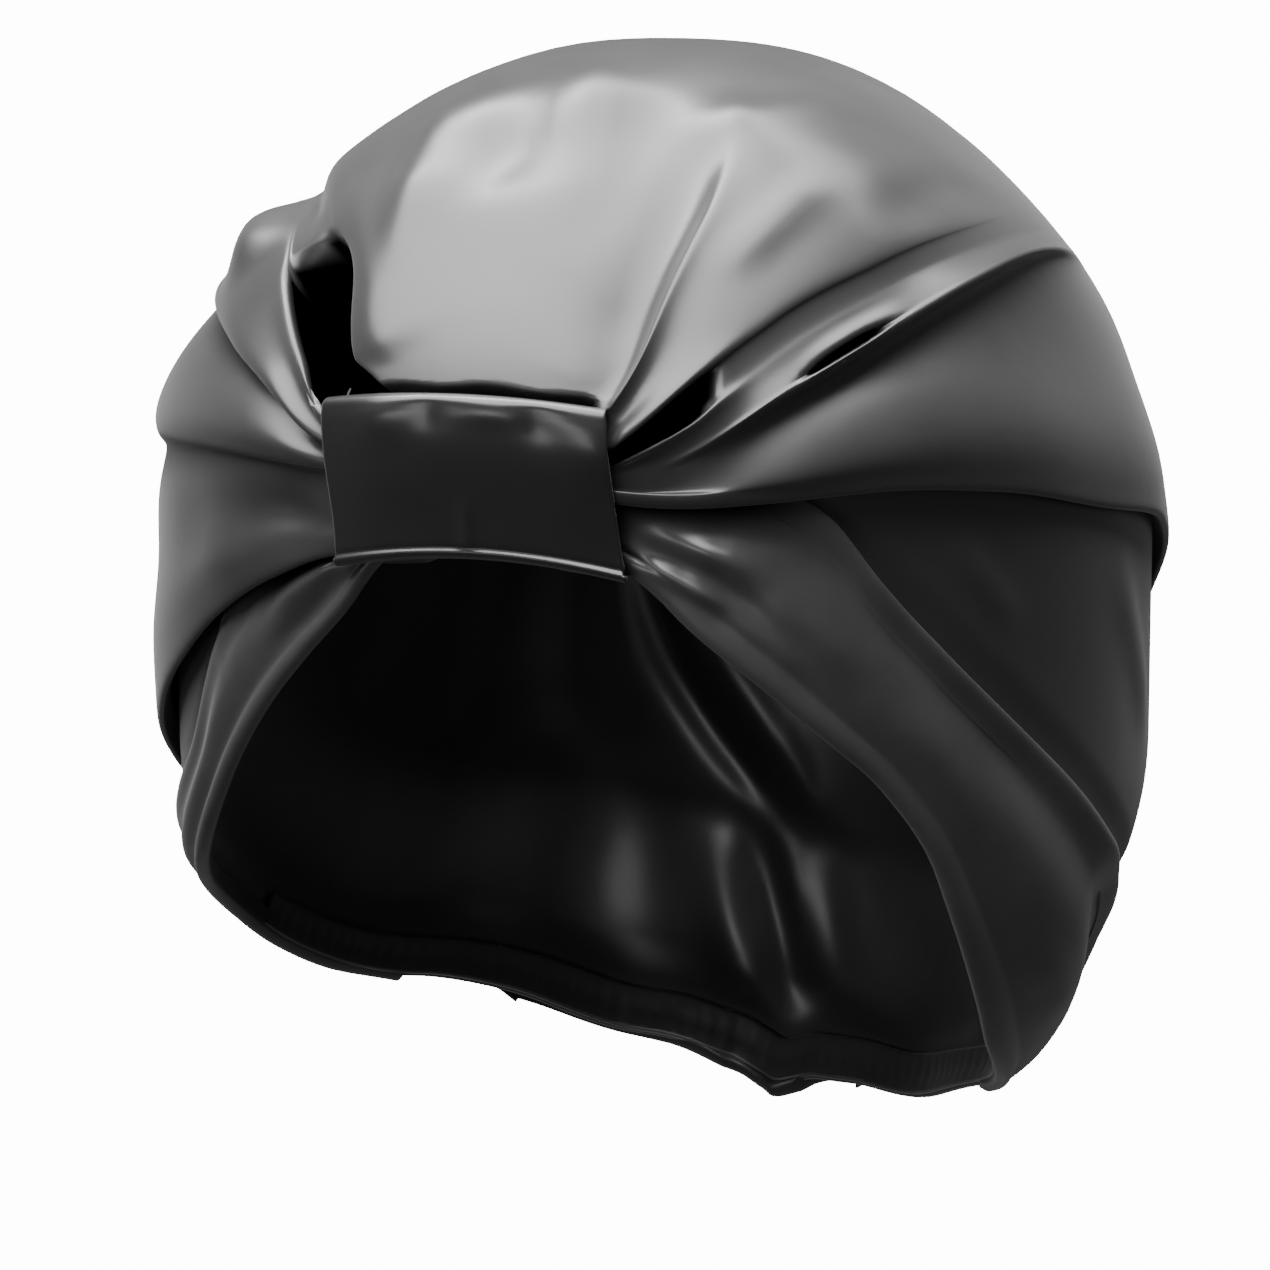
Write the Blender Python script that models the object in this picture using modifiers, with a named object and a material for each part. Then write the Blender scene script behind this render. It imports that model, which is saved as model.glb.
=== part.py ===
"""Turban headwrap of black satin in its worn form.

Metres, +Z up, the brow towards -Y and the wearer's left towards +X. The origin is where the crown of
the head bears on the lining.

Every panel is a thin wall that follows one smooth head form. A place on the form is given by two
angles: tau, from the front band (0) to the nape (180), and psi, around that line, from the wearer's
left (0) over the top (90) to the wearer's right (180).
"""

import math
from functools import partial
from typing import NamedTuple

import bmesh
import bpy
import numpy as np
from mathutils import Vector

# The head form, measured from its centre.
FORM_HALF_WIDTH = 0.104
FORM_FRONT = 0.106
FORM_BACK = 0.118
FORM_TOP = 0.105
TAPER_START = -0.040
TAPER_END = -0.130
SIDE_TAPER = 0.42
BACK_TAPER = 0.40
FRONT_TAPER = 0.25

# The two ends of the line that the folds run along: behind the front band, and under the nape.
BAND_HEIGHT_ON_FORM = 0.026
BAND_DEPTH_SHARE = 0.95
NAPE_DEPTH_ON_FORM = 0.146
NAPE_REACH_ON_FORM = 0.066

# Walls, and the clearance between one layer and the next.
PANEL_WALL = 0.0012
LINING_WALL = 0.0010
LAYER_CLEARANCE = 0.0008
CROWN_LIFT = 0.0015
LINING_HOLLOW = 0.0145
LINING_HEM_FLAT = 0.016
LINING_HEM_RISE = 0.045

# Folds.
PLEAT_HEIGHT = 0.0080
PLEAT_WIDTH = 0.0100
PLEAT_OVERHANG = 1.25
NAPE_GATHER_HEIGHT = 0.0013
NAPE_GATHER_PITCH = 0.0400
NAPE_GATHER_FROM = 0.62  # shares of the nape's depth and of the form's length behind
NAPE_GATHER_FADE = 0.25
NAPE_GATHER_BEHIND = 0.30
BROW_DRAW = 0.0145
BROW_DRAW_TOP = 0.0400
BROW_DRAW_DROP = 0.0340
BROW_DRAW_WIDTH = 0.0700
BROW_DRAW_REACH = 0.5  # a share of the form's length in front

# The front band, a folded strip whose ends are stitched inside.
BAND_TOP_HALF_LENGTH = 0.0280
BAND_BOTTOM_HALF_LENGTH = 0.0330
BAND_RETURN_HALF_LENGTH = 0.0170
BAND_TOP = 0.0360
BAND_BOTTOM = 0.0062
BAND_BOW = 0.0020
BAND_STAND = 0.0053
BAND_COVERS = 0.0030
BAND_WALL = 0.0013
BAND_SLIT = 0.0030
RETURN_STARTS = 0.25  # how far in, as a share of the layers', the band has narrowed to its returns
CASING_WIDTH = 0.0110

MERGE = 1e-7

# The layers' outer faces, as heights above the form.
BROW_LIFT = CROWN_LIFT - PANEL_WALL - LAYER_CLEARANCE
SIDE_LIFT = BROW_LIFT - PANEL_WALL - LAYER_CLEARANCE
LINING_LIFT = SIDE_LIFT - PANEL_WALL - LAYER_CLEARANCE
CASING_LIFT = LINING_LIFT - LINING_WALL - LAYER_CLEARANCE

CENTRE = np.array([0.0, 0.0, LINING_HOLLOW + LINING_WALL - LINING_LIFT - FORM_TOP])
BAND_END = np.array([0.0, -FORM_FRONT * BAND_DEPTH_SHARE, BAND_HEIGHT_ON_FORM])
NAPE_END = np.array([0.0, NAPE_REACH_ON_FORM, -NAPE_DEPTH_ON_FORM])
EYE = (BAND_END + NAPE_END) / 2
ALONG = (BAND_END - NAPE_END) / np.linalg.norm(BAND_END - NAPE_END)
ACROSS = np.array([1.0, 0.0, 0.0])
OVER = np.cross(ALONG, ACROSS)
OVER = OVER if OVER[2] > 0 else -OVER

# The crown's fold lines, from its edge over the left ear to its edge over the right ear: psi at each tau.
LINE_TAUS = (14, 20, 28, 38, 50, 66, 82, 105, 125, 150)
CROWN_LINES = {
    "left_edge": (-4, 0.3, 6.8, 14, 20.2, 27.5, 37, 48, 50, 22),
    "flank": (0, 8.5, 21.5, 32.5, 42.5, 52, 58, 62, 61, 42),
    "eyelet": (3.5, 13, 25, 35.3, 44.5, 54, 61, 65, 64, 47),
    "tunnel_lip": (7, 17.5, 30, 38.5, 46.5, 56, 64, 68, 67, 52),
    "tunnel_crest": (11, 24.3, 34.7, 41.6, 48.5, 58, 67, 72, 71, 58),
    "left_tuck": (24, 44.3, 58.2, 69.5, 76, 80, 83, 84, 83, 80),
    "loop_inner": (149, 134, 130, 124, 118, 112, 108, 106, 107, 110),
    "loop_outer": (163, 151.5, 139, 130, 123, 117, 113, 111, 112, 116),
    "right_tuck": (170.5, 159, 151.7, 145.3, 138, 132, 128, 126, 127, 132),
    "right_pleat": (177.5, 173.5, 168.8, 164, 158.5, 152, 148, 146, 147, 150),
    "right_edge": (207, 198.5, 193.3, 189.6, 187, 183, 178.5, 174, 171, 167),
}
CROWN_COLUMNS = (5, 3, 3, 3, 6, 8, 8, 4, 5, 5)
CROWN_ROWS = 29
CROWN_ROW_BIAS = 1.8
LINE = {name: number for number, name in enumerate(CROWN_LINES)}

# Behind the band: its outline as the crown meets it, and the degrees of tau in which the cloth goes down into
# the slit above the band and in which the folds reach their height.
OUTLINE_POWER = 6
OUTLINE_ACROSS = 1.42
OUTLINE_UP = 1.05
TUCK_LENGTH = 4.0
TUCK_DEPTH = 1.5 * BAND_SLIT
TUCK_SIDES = 21.0
FOLDS_START = 5.0
POCKET_STEEPNESS = 6.0

# The nape hem, from the wearer's left to the right: psi, and the tau at which the cloth ends.
NAPE_HEM_PSI = (-12, -5, 0, 14, 40, 62, 90, 118, 145, 160, 168, 174, 180)
NAPE_HEM_TAU = (131, 147, 154, 164, 171, 174, 174.5, 172.5, 167, 158, 148, 139, 131)
NAPE_STATIONS = 28
NAPE_CORNER = 3.0


class Fold(NamedTuple):
    """A fold along a line of the crown. Height and width are shares of the pleat's."""

    line: float
    side: int  # 1: high above the line, -1: high below it, 0: a ridge or, below zero, a valley on it
    height: float
    width: float
    reach: float
    start: float
    full: float
    fade: float
    end: float


class Pocket(NamedTuple):
    """An open tuck that a pleat leaves between two lines of the crown. Depth is a share of the pleat's height."""

    line_a: float
    line_b: float
    depth: float
    start: float
    full: float
    fade: float
    end: float


class Swell(NamedTuple):
    """A soft swell or dent of the cloth. Height and radius are shares of the pleat's height and width."""

    tau: float
    psi: float
    height: float
    radius: float


CROWN_FOLDS = (
    Fold(LINE["left_edge"], 0, 0.30, 0.8, 0.0, 14, 30, 62, 84),
    Fold(LINE["flank"], 1, 0.55, 0.30, 1.6, 16, 28, 50, 72),
    Fold(LINE["tunnel_lip"], 0, 0.20, 0.22, 0.0, 13, 16, 22, 28),
    Fold(LINE["tunnel_crest"], 1, 0.30, 0.22, 0.7, 14, 17, 30, 46),
    Fold(LINE["tunnel_crest"] + 0.45, 0, 0.40, 0.85, 0.0, 16, 30, 44, 66),
    Fold(LINE["left_tuck"], -1, 0.38, 0.30, 1.3, 13, 18, 32, 46),
    Fold(LINE["loop_outer"], 1, 0.40, 0.22, 0.9, 12, 16, 26, 40),
    Fold(LINE["loop_outer"] + 0.4, 0, 0.45, 0.9, 0.0, 16, 30, 40, 60),
    Fold(LINE["right_tuck"], -1, 0.45, 0.30, 1.2, 14, 22, 42, 70),
    Fold(LINE["right_tuck"] + 0.5, 0, 0.35, 1.2, 0.0, 20, 36, 52, 76),
    Fold(LINE["right_pleat"], -1, 0.36, 0.28, 1.3, 13, 20, 54, 80),
    Fold(LINE["right_pleat"] + 0.55, 0, 0.30, 1.5, 0.0, 30, 44, 60, 90),
    Fold(LINE["right_edge"], 0, 0.32, 0.9, 0.0, 15.5, 26, 110, 150),
)
CROWN_POCKETS = (
    Pocket(LINE["tunnel_lip"], LINE["tunnel_crest"], 0.80, 14.5, 17.5, 20.5, 24.5),
    Pocket(LINE["flank"] + 0.3, LINE["tunnel_lip"] - 0.2, 0.70, 29.5, 33.0, 35.0, 39.0),
    Pocket(LINE["loop_inner"], LINE["loop_outer"], 1.30, 12.5, 16.0, 23.0, 28.0),
)
CROWN_SWELLS = (
    Swell(24, 109, 0.20, 0.9),
    Swell(31, 103, 0.22, 1.0),
    Swell(26, 92, -0.22, 1.0),
    Swell(33, 86, 0.22, 1.1),
    Swell(31, 77, -0.12, 0.9),
    Swell(35, 68, 0.25, 1.0),
    Swell(17, 90, -0.18, 1.8),
    Swell(21, 183, -0.22, 0.9),
    Swell(33, 181, 0.20, 1.2),
    Swell(46, 62, -0.15, 1.6),
    Swell(60, 100, 0.25, 2.6),
)

# The brow wraps, from the band to the nape: the place of the hem and of the upper edge at each station.
BROW_COLUMNS = ("hem_tau", "hem_psi", "top_tau", "top_psi")
LEFT_BROW = (
    (12.5, -23, 12.5, 6),
    (19, -20, 19, 8),
    (27.6, -19.9, 26, 11.5),
    (37.8, -17.8, 34, 8.8),
    (47.9, -16.2, 43, 3.8),
    (55.8, -15.2, 53, 2.2),
    (66.2, -16, 64.5, 2.3),
    (76, -18, 77, 3.4),
    (86, -19.2, 89, 5.0),
    (96, -19.6, 101, 8.0),
    (106, -19.2, 112, 9.5),
    (116, -17, 122, 7.5),
    (126, -13.5, 131, 2.5),
    (136, -9.5, 138.5, -4),
)
RIGHT_BROW = (
    (12.5, 209, 12.5, 197),
    (16, 208.5, 17, 192),
    (22, 209.5, 23, 188.5),
    (30, 207.5, 31, 186.8),
    (39, 205.8, 39, 188.2),
    (49, 205.2, 47, 192.6),
    (59, 205.2, 56, 196),
    (69, 203.5, 66, 195),
    (79, 200, 77, 191.5),
    (89, 195.5, 89, 186.5),
    (99, 192, 101, 182.5),
    (110, 189.5, 112, 179.5),
    (121, 186, 122, 177.5),
    (132, 179.5, 131, 176),
)
BROW_COLUMN_COUNT = 30
BROW_ROWS = 6
BROW_RISE_FROM = 17.0
BROW_RISE_LENGTH = 10.0
# Across a wrap, from the hem to the upper edge: the height as a share of the pleat's.
BROW_ACROSS = (0.0, 0.12, 0.42, 0.78, 0.93, 1.0)
LEFT_BROW_RISE = (0.00, 0.22, 0.34, 0.02, 0.20, 0.05)
RIGHT_BROW_RISE = (0.00, 0.18, 0.26, 0.05, 0.16, 0.05)

# How far one panel runs under the next, in degrees of psi at the ear, and where the side wraps come out.
UNDERLAP = 4.0
SIDE_START = 30.0
SIDE_SHARE = 0.96
SIDE_END_GUESS = 140.0
SIDE_PASSES = 12
SIDE_RISE_FROM = 0.4  # a share of the underlap
SIDE_COLUMNS = 22
SIDE_ROWS = 5

# The hem under the band, from the wearer's right to the left, as tau and psi.
BAND_HEM = ((7.4, 240), (6.5, 270), (7.4, 300))

# The lining's length from the hem to its top, and the stretch of the hem that the nape casing follows.
LINING_ARC = 0.19
CASING_FROM = 0.27
CASING_TO = 0.68
CASING_COLUMNS = 26
LINING_SIDE_COLUMNS = 9
LINING_ROWS = 9
LINING_ROW_BIAS = 1.4
CASING_ROWS = 2

# Round the band's fold, from the return in the slit above to the one inside: the height as a share of the
# band's, how far it stands out as a share of BAND_STAND, and how far in it lies as a share of the layers'.
BAND_PROFILE = (
    (0.97, 0.00, 0.55),
    (1.02, 0.00, 0.20),
    (1.04, 0.50, 0.00),
    (1.00, 0.95, 0.00),
    (0.90, 1.00, 0.00),
    (0.65, 0.92, 0.00),
    (0.40, 0.82, 0.00),
    (0.15, 0.78, 0.00),
    (0.03, 0.72, 0.00),
    (-0.03, 0.25, 0.00),
    (-0.04, 0.00, 0.50),
    (-0.01, 0.00, 0.90),
    (0.08, 0.00, 1.02),
    (0.25, 0.00, 1.04),
)
BAND_COLUMNS = 12
BAND_ROWS = 18


def smooth(t):
    t = np.clip(t, 0.0, 1.0)
    return t * t * (3.0 - 2.0 * t)


def through(x, knots, values):
    """A smooth curve through a table: cubic between knots, with the slope at a knot that of its neighbours."""
    knots, values = np.asarray(knots, float), np.asarray(values, float)
    slopes = np.gradient(values, knots)
    x = np.clip(x, knots[0], knots[-1])
    i = np.clip(np.searchsorted(knots, x) - 1, 0, len(knots) - 2)
    step = knots[i + 1] - knots[i]
    t = (x - knots[i]) / step
    a, b = values[i], values[i + 1]
    tangent_a, tangent_b = slopes[i] * step, slopes[i + 1] * step
    return (
        (1 + 2 * t) * (1 - t) ** 2 * a
        + t * (1 - t) ** 2 * tangent_a
        + t * t * (3 - 2 * t) * b
        + t * t * (t - 1) * tangent_b
    )


def envelope(tau, start, full, fade, end):
    return smooth((tau - start) / (full - start)) * smooth((end - tau) / (end - fade))


def taper(z, amount):
    t = np.clip((TAPER_START - z) / (TAPER_START - TAPER_END), 0.0, 1.3)
    return 1.0 - amount * t * t


def form_value(p):
    """Below zero inside the head form: half an ellipsoid over a tube that narrows to the nape."""
    x, y, z = p[..., 0], p[..., 1], p[..., 2]
    depth = np.where(y > 0, FORM_BACK * taper(z, BACK_TAPER), FORM_FRONT * taper(z, FRONT_TAPER))
    width = FORM_HALF_WIDTH * taper(z, SIDE_TAPER)
    return (x / width) ** 2 + (y / depth) ** 2 + (np.maximum(z, 0) / FORM_TOP) ** 2 - 1.0


def form_along(start, ray):
    """Where rays from inside the form leave it, by halving the stretch that holds the place."""
    low = np.zeros(ray.shape[:-1])
    high = np.full(ray.shape[:-1], 4 * FORM_BACK)
    for _ in range(40):
        middle = (low + high) / 2
        inside = form_value(start + middle[..., None] * ray) < 0
        low, high = np.where(inside, middle, low), np.where(inside, high, middle)
    return start + ((low + high) / 2)[..., None] * ray


def form_point(tau, psi):
    """The form's point in the direction of the two angles."""
    tau, psi = np.radians(tau), np.radians(psi)
    ray = (
        np.cos(tau)[..., None] * ALONG
        + (np.sin(tau) * np.cos(psi))[..., None] * ACROSS
        + (np.sin(tau) * np.sin(psi))[..., None] * OVER
    )
    return form_along(EYE, ray)


def form_normal(p):
    reach = 1e-5
    steps = np.eye(3) * reach
    gradient = np.stack([form_value(p + step) - form_value(p - step) for step in steps], -1)
    return gradient / np.linalg.norm(gradient, axis=-1, keepdims=True)


def nape_gathers(p):
    """The waves that the nape's elastic draws into every layer."""
    depth = -p[..., 2] / NAPE_DEPTH_ON_FORM
    low = smooth((depth - NAPE_GATHER_FROM) / NAPE_GATHER_FADE)
    behind = smooth(p[..., 1] / (NAPE_GATHER_BEHIND * FORM_BACK))
    wave = np.cos(2 * math.pi * p[..., 0] / NAPE_GATHER_PITCH)
    return NAPE_GATHER_HEIGHT * low * behind * wave


def brow_draw(p):
    """How far the band pulls every layer in under it, which tips the band's face down."""
    low = smooth((BROW_DRAW_TOP - p[..., 2]) / BROW_DRAW_DROP)
    near = np.exp(-((p[..., 0] / BROW_DRAW_WIDTH) ** 2))
    return BROW_DRAW * low * near * smooth(-p[..., 1] / (BROW_DRAW_REACH * FORM_FRONT))


def lifted(p, lift):
    """Points of the form lifted off it along its normal, in the part's own frame."""
    return CENTRE + p + (lift + nape_gathers(p) - brow_draw(p))[..., None] * form_normal(p)


def placed(tau, psi, lift):
    return lifted(form_point(tau, psi), lift)


def line_psi(number, tau):
    """psi of a crown line, or of a place between two of them, at each tau."""
    lines = list(CROWN_LINES.values())
    number = np.asarray(number, float)
    whole = np.clip(np.floor(number).astype(int), 0, len(lines) - 2)
    at = np.stack([through(tau, LINE_TAUS, line) for line in lines])
    lower = np.take_along_axis(at, whole[None], 0)[0]
    upper = np.take_along_axis(at, whole[None] + 1, 0)[0]
    return lower + (upper - lower) * (number - whole)


def band_outline(psi):
    """tau at which the crown's cloth goes in behind the band: a rounded rectangle around the band's middle."""
    away = FORM_FRONT + NAPE_REACH_ON_FORM
    reach = math.degrees((BAND_TOP_HALF_LENGTH - BAND_COVERS) / away) * OUTLINE_ACROSS
    rise = math.degrees((BAND_TOP + BAND_BOW + BAND_SLIT - BAND_HEIGHT_ON_FORM) / away) * OUTLINE_UP
    across = np.abs(np.cos(np.radians(psi))) / reach
    up = np.abs(np.sin(np.radians(psi))) / rise
    return (across**OUTLINE_POWER + up**OUTLINE_POWER) ** (-1 / OUTLINE_POWER)


def lateral(psi, line, tau, p):
    """Distance along the cloth from a crown line, positive towards the wearer's right."""
    around = np.linalg.norm(p - EYE, axis=-1) * np.sin(np.radians(tau))
    return np.radians(psi - line) * around, around


def crown_wall(u, v):
    """The crown's outer face: u from the band to the nape hem, v in lines from the left edge to the right."""
    tau_from = np.full(u.shape, float(LINE_TAUS[0]))
    for _ in range(4):
        tau_from = band_outline(line_psi(v, tau_from))
    tau_to = nape_hem(line_psi(v, np.full(u.shape, float(LINE_TAUS[-1]))))
    tau = tau_from + (tau_to - tau_from) * u**CROWN_ROW_BIAS
    psi = line_psi(v, tau)
    p = form_point(tau, psi)
    lift = np.full(tau.shape, CROWN_LIFT)
    shift = np.zeros(tau.shape)
    for fold in CROWN_FOLDS:
        line = line_psi(np.full(tau.shape, float(fold.line)), tau)
        d, around = lateral(psi, line, tau, p)
        strength = envelope(tau, fold.start, fold.full, fold.fade, fold.end)
        width = fold.width * PLEAT_WIDTH
        if fold.side:
            away = d * fold.side
            rise = smooth((away / width + 1) / 2) * np.exp(-np.maximum(away, 0) / (fold.reach * PLEAT_WIDTH))
            pinch = PLEAT_OVERHANG * d * np.exp(-((d / width) ** 2)) * strength
            shift -= np.degrees(pinch / around)
        else:
            rise = np.exp(-((d / width) ** 2))
        lift += fold.height * PLEAT_HEIGHT * strength * rise
    for pocket in CROWN_POCKETS:
        share = np.clip((v - pocket.line_a) / (pocket.line_b - pocket.line_a), 0, 1)
        strength = envelope(tau, pocket.start, pocket.full, pocket.fade, pocket.end)
        lift -= pocket.depth * PLEAT_HEIGHT * strength * smooth(POCKET_STEEPNESS * share * (1 - share))
    for swell in CROWN_SWELLS:
        middle = form_point(np.array(float(swell.tau)), np.array(float(swell.psi)))
        far = np.linalg.norm(p - middle, axis=-1) / (swell.radius * PLEAT_WIDTH)
        lift += swell.height * PLEAT_HEIGHT * np.exp(-far * far)
    tucked = smooth((tau_from + TUCK_LENGTH - tau) / TUCK_LENGTH)
    above_band = (psi > TUCK_SIDES) & (psi < 180 - TUCK_SIDES)
    lift -= tucked * np.where(above_band, TUCK_DEPTH, 0.0)
    close = smooth((tau - tau_from) / FOLDS_START)
    lift = np.where(lift > CROWN_LIFT, CROWN_LIFT + (lift - CROWN_LIFT) * close, lift)
    return placed(tau, psi + shift, lift)


def brow_wall(table, rise, edge, sense, u, w):
    """A brow wrap's outer face: u along it from the band, w across it from the hem."""
    stations = np.arange(len(table), dtype=float)
    columns = dict(zip(BROW_COLUMNS, np.array(table, float).T))
    at = {name: through(u * stations[-1], stations, values) for name, values in columns.items()}
    tau = at["hem_tau"] + (at["top_tau"] - at["hem_tau"]) * w
    psi = at["hem_psi"] + (at["top_psi"] - at["hem_psi"]) * w
    fade = smooth((tau - BROW_RISE_FROM) / BROW_RISE_LENGTH)
    lift = BROW_LIFT + PLEAT_HEIGHT * fade * through(w, BROW_ACROSS, rise)
    under_crown = (psi - line_psi(np.full(tau.shape, float(LINE[edge])), tau)) * sense
    covered = smooth(under_crown / UNDERLAP + 1.0)
    return placed(tau, psi, BROW_LIFT + (lift - BROW_LIFT) * (1 - covered))


def nape_hem(psi):
    """tau at which the cloth ends at the nape."""
    return through(psi, NAPE_HEM_PSI, NAPE_HEM_TAU)


def brow_top(table, tau):
    """psi of a brow wrap's upper edge at each tau."""
    columns = np.array(table, float).T
    return through(tau, columns[BROW_COLUMNS.index("top_tau")], columns[BROW_COLUMNS.index("top_psi")])


def side_wall(table, edge, sense, u, w):
    """A side wrap's outer face, from under the brow wrap's upper edge to under the crown's edge."""
    tau_to = np.full(u.shape, SIDE_END_GUESS)
    for _ in range(SIDE_PASSES):
        low = brow_top(table, tau_to) - sense * UNDERLAP
        high = line_psi(np.full(u.shape, float(LINE[edge])), tau_to) + sense * UNDERLAP
        tau_to = (tau_to + nape_hem(low + (high - low) * w)) / 2
    tau = SIDE_START + (tau_to - SIDE_START) * SIDE_SHARE * u
    low = brow_top(table, tau) - sense * UNDERLAP
    high = line_psi(np.full(u.shape, float(LINE[edge])), tau) + sense * UNDERLAP
    psi = low + (high - low) * w
    clear = (psi - brow_top(table, tau)) * sense / UNDERLAP
    return placed(tau, psi, SIDE_LIFT + LAYER_CLEARANCE * smooth(clear - SIDE_RISE_FROM))


def hem_directions(share):
    """Directions from the middle of the form to the whole hem, by the share of its length from the left temple."""
    left = [row[:2] for row in LEFT_BROW]
    nape_psi = np.linspace(LEFT_BROW[-1][1] + NAPE_CORNER, RIGHT_BROW[-1][1] - NAPE_CORNER, NAPE_STATIONS)
    nape = [(nape_hem(psi), psi) for psi in nape_psi]
    right = [row[:2] for row in reversed(RIGHT_BROW)]
    taus, psis = np.array(left + nape + right + list(BAND_HEM) + left[:1], float).T
    points = form_point(taus, psis) - EYE
    reach = np.concatenate([[0], np.cumsum(np.linalg.norm(np.diff(points, axis=0), axis=1))])
    p = np.stack([through(share * reach[-1], reach, points[:, i]) for i in range(3)], -1)
    return p / np.linalg.norm(p, axis=-1, keepdims=True)


def cap_wall(share, w, lift):
    """A face inside the headwrap: the share of the hem's length, and w from the hem (0) to the cap's pole (1)."""
    turn = w[..., None] * math.pi / 2
    ray = hem_directions(share) * np.cos(turn) + OVER * np.sin(turn)
    ray /= np.linalg.norm(ray, axis=-1, keepdims=True)
    return lifted(form_along(EYE, ray), lift)


def lining_wall(u, row):
    w = row**LINING_ROW_BIAS
    from_hem = w * LINING_ARC
    lift = LINING_LIFT - LINING_HOLLOW * smooth((from_hem - LINING_HEM_FLAT) / LINING_HEM_RISE)
    return cap_wall(u, w, lift)


def casing_wall(u, w):
    """The nape casing's outer face, along the hem from one nape corner to the other."""
    share = CASING_FROM + (CASING_TO - CASING_FROM) * u
    return cap_wall(share, w * CASING_WIDTH / LINING_ARC, np.full(u.shape, CASING_LIFT))


def band_wall(u, w):
    """The front band's face: u along the band from the wearer's right, w round its fold from the top return."""
    rows = np.array(BAND_PROFILE, float).T
    stations = np.arange(rows.shape[1]) / (rows.shape[1] - 1)
    height, stand, inward = (through(w, stations, row) for row in rows)
    middle = 2 * u - 1
    half_length = BAND_BOTTOM_HALF_LENGTH + (BAND_TOP_HALF_LENGTH - BAND_BOTTOM_HALF_LENGTH) * height
    x = middle * (half_length + (BAND_RETURN_HALF_LENGTH - half_length) * smooth(inward / RETURN_STARTS))
    z = BAND_BOTTOM + height * (BAND_TOP - BAND_BOTTOM) + BAND_BOW * (1 - middle**2)
    start = np.stack([x, np.zeros(x.shape), z], -1)
    p = form_along(start, np.broadcast_to([0.0, -1.0, 0.0], start.shape))
    return lifted(p, stand * BAND_STAND + inward * (CASING_LIFT - BAND_WALL))


def satin(name, shade, roughness):
    """A material for black satin."""
    material = bpy.data.materials.new(name)
    material.use_nodes = True
    shader = material.node_tree.nodes["Principled BSDF"]
    shader.inputs["Base Color"].default_value = (shade, shade, shade, 1.0)
    shader.inputs["Roughness"].default_value = roughness
    shader.inputs["Metallic"].default_value = 0.0
    return material


def stations(counts):
    """Places from 0 to the number of spans, set closer together near each whole number."""
    spans = [
        number + 0.5 * (1 - np.cos(np.pi * np.arange(count) / count)) for number, count in enumerate(counts)
    ]
    return np.concatenate(spans + [[float(len(counts))]])


def sheet(collection, name, material, face, columns, rows, wall, across=None):
    """A cloth panel: a grid laid on a face given by a function of two shares, then given its thickness."""
    grid = bmesh.new()
    bmesh.ops.create_grid(grid, x_segments=columns, y_segments=rows, size=0.5)
    flat = np.array([v.co[:] for v in grid.verts]) + 0.5
    u, w = flat[:, 0], flat[:, 1]
    if across is not None:
        u = np.interp(u, np.linspace(0, 1, len(across)), across)
    for vertex, place in zip(grid.verts, face(u, w)):
        vertex.co = place
    bmesh.ops.remove_doubles(grid, verts=grid.verts, dist=MERGE)
    grid.normal_update()
    outward = sum(f.normal.dot(f.calc_center_median() - Vector(CENTRE)) for f in grid.faces)
    if outward < 0:
        bmesh.ops.reverse_faces(grid, faces=grid.faces)
    mesh = bpy.data.meshes.new(name)
    grid.to_mesh(mesh)
    grid.free()
    mesh.materials.append(material)
    mesh.shade_smooth()
    panel = bpy.data.objects.new(name, mesh)
    collection.objects.link(panel)
    thickness = panel.modifiers.new("wall", "SOLIDIFY")
    thickness.thickness = wall
    thickness.offset = -1.0
    return panel


def build_crown(collection):
    across = stations(CROWN_COLUMNS)
    sheet(
        collection, "crown", satin("crown_satin", 0.030, 0.38),
        lambda v, u: crown_wall(u, v), sum(CROWN_COLUMNS), CROWN_ROWS, PANEL_WALL, across,
    )


def build_brow_wraps(collection):
    for name, table, rise, edge, sense in (
        ("brow_wrap_left", LEFT_BROW, LEFT_BROW_RISE, "left_edge", 1),
        ("brow_wrap_right", RIGHT_BROW, RIGHT_BROW_RISE, "right_edge", -1),
    ):
        face = partial(brow_wall, table, rise, edge, sense)
        finish = satin(name + "_satin", 0.020, 0.40)
        sheet(collection, name, finish, face, BROW_COLUMN_COUNT, BROW_ROWS, PANEL_WALL)


def build_side_wraps(collection):
    for name, table, edge, sense in (
        ("side_wrap_left", LEFT_BROW, "left_edge", 1),
        ("side_wrap_right", RIGHT_BROW, "right_edge", -1),
    ):
        face = partial(side_wall, table, edge, sense)
        finish = satin(name + "_satin", 0.016, 0.42)
        sheet(collection, name, finish, face, SIDE_COLUMNS, SIDE_ROWS, PANEL_WALL)


def build_lining(collection):
    across = np.concatenate([
        np.linspace(0, CASING_FROM, LINING_SIDE_COLUMNS + 1)[:-1],
        np.linspace(CASING_FROM, CASING_TO, CASING_COLUMNS + 1)[:-1],
        np.linspace(CASING_TO, 1, LINING_SIDE_COLUMNS + 1),
    ])
    sheet(
        collection, "lining", satin("lining_satin", 0.014, 0.45),
        lining_wall, len(across) - 1, LINING_ROWS, LINING_WALL, across,
    )


def build_nape_casing(collection):
    finish = satin("casing_satin", 0.014, 0.50)
    sheet(collection, "nape_casing", finish, casing_wall, CASING_COLUMNS, CASING_ROWS, LINING_WALL)


def build_front_band(collection):
    sheet(collection, "front_band", satin("band_satin", 0.018, 0.36), band_wall, BAND_COLUMNS, BAND_ROWS, BAND_WALL)


def main():
    for thing in list(bpy.data.objects):
        bpy.data.objects.remove(thing, do_unlink=True)
    collection = bpy.data.collections.new("turban_headwrap")
    bpy.context.scene.collection.children.link(collection)
    build_crown(collection)
    build_brow_wraps(collection)
    build_side_wraps(collection)
    build_lining(collection)
    build_nape_casing(collection)
    build_front_band(collection)


main()
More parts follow.
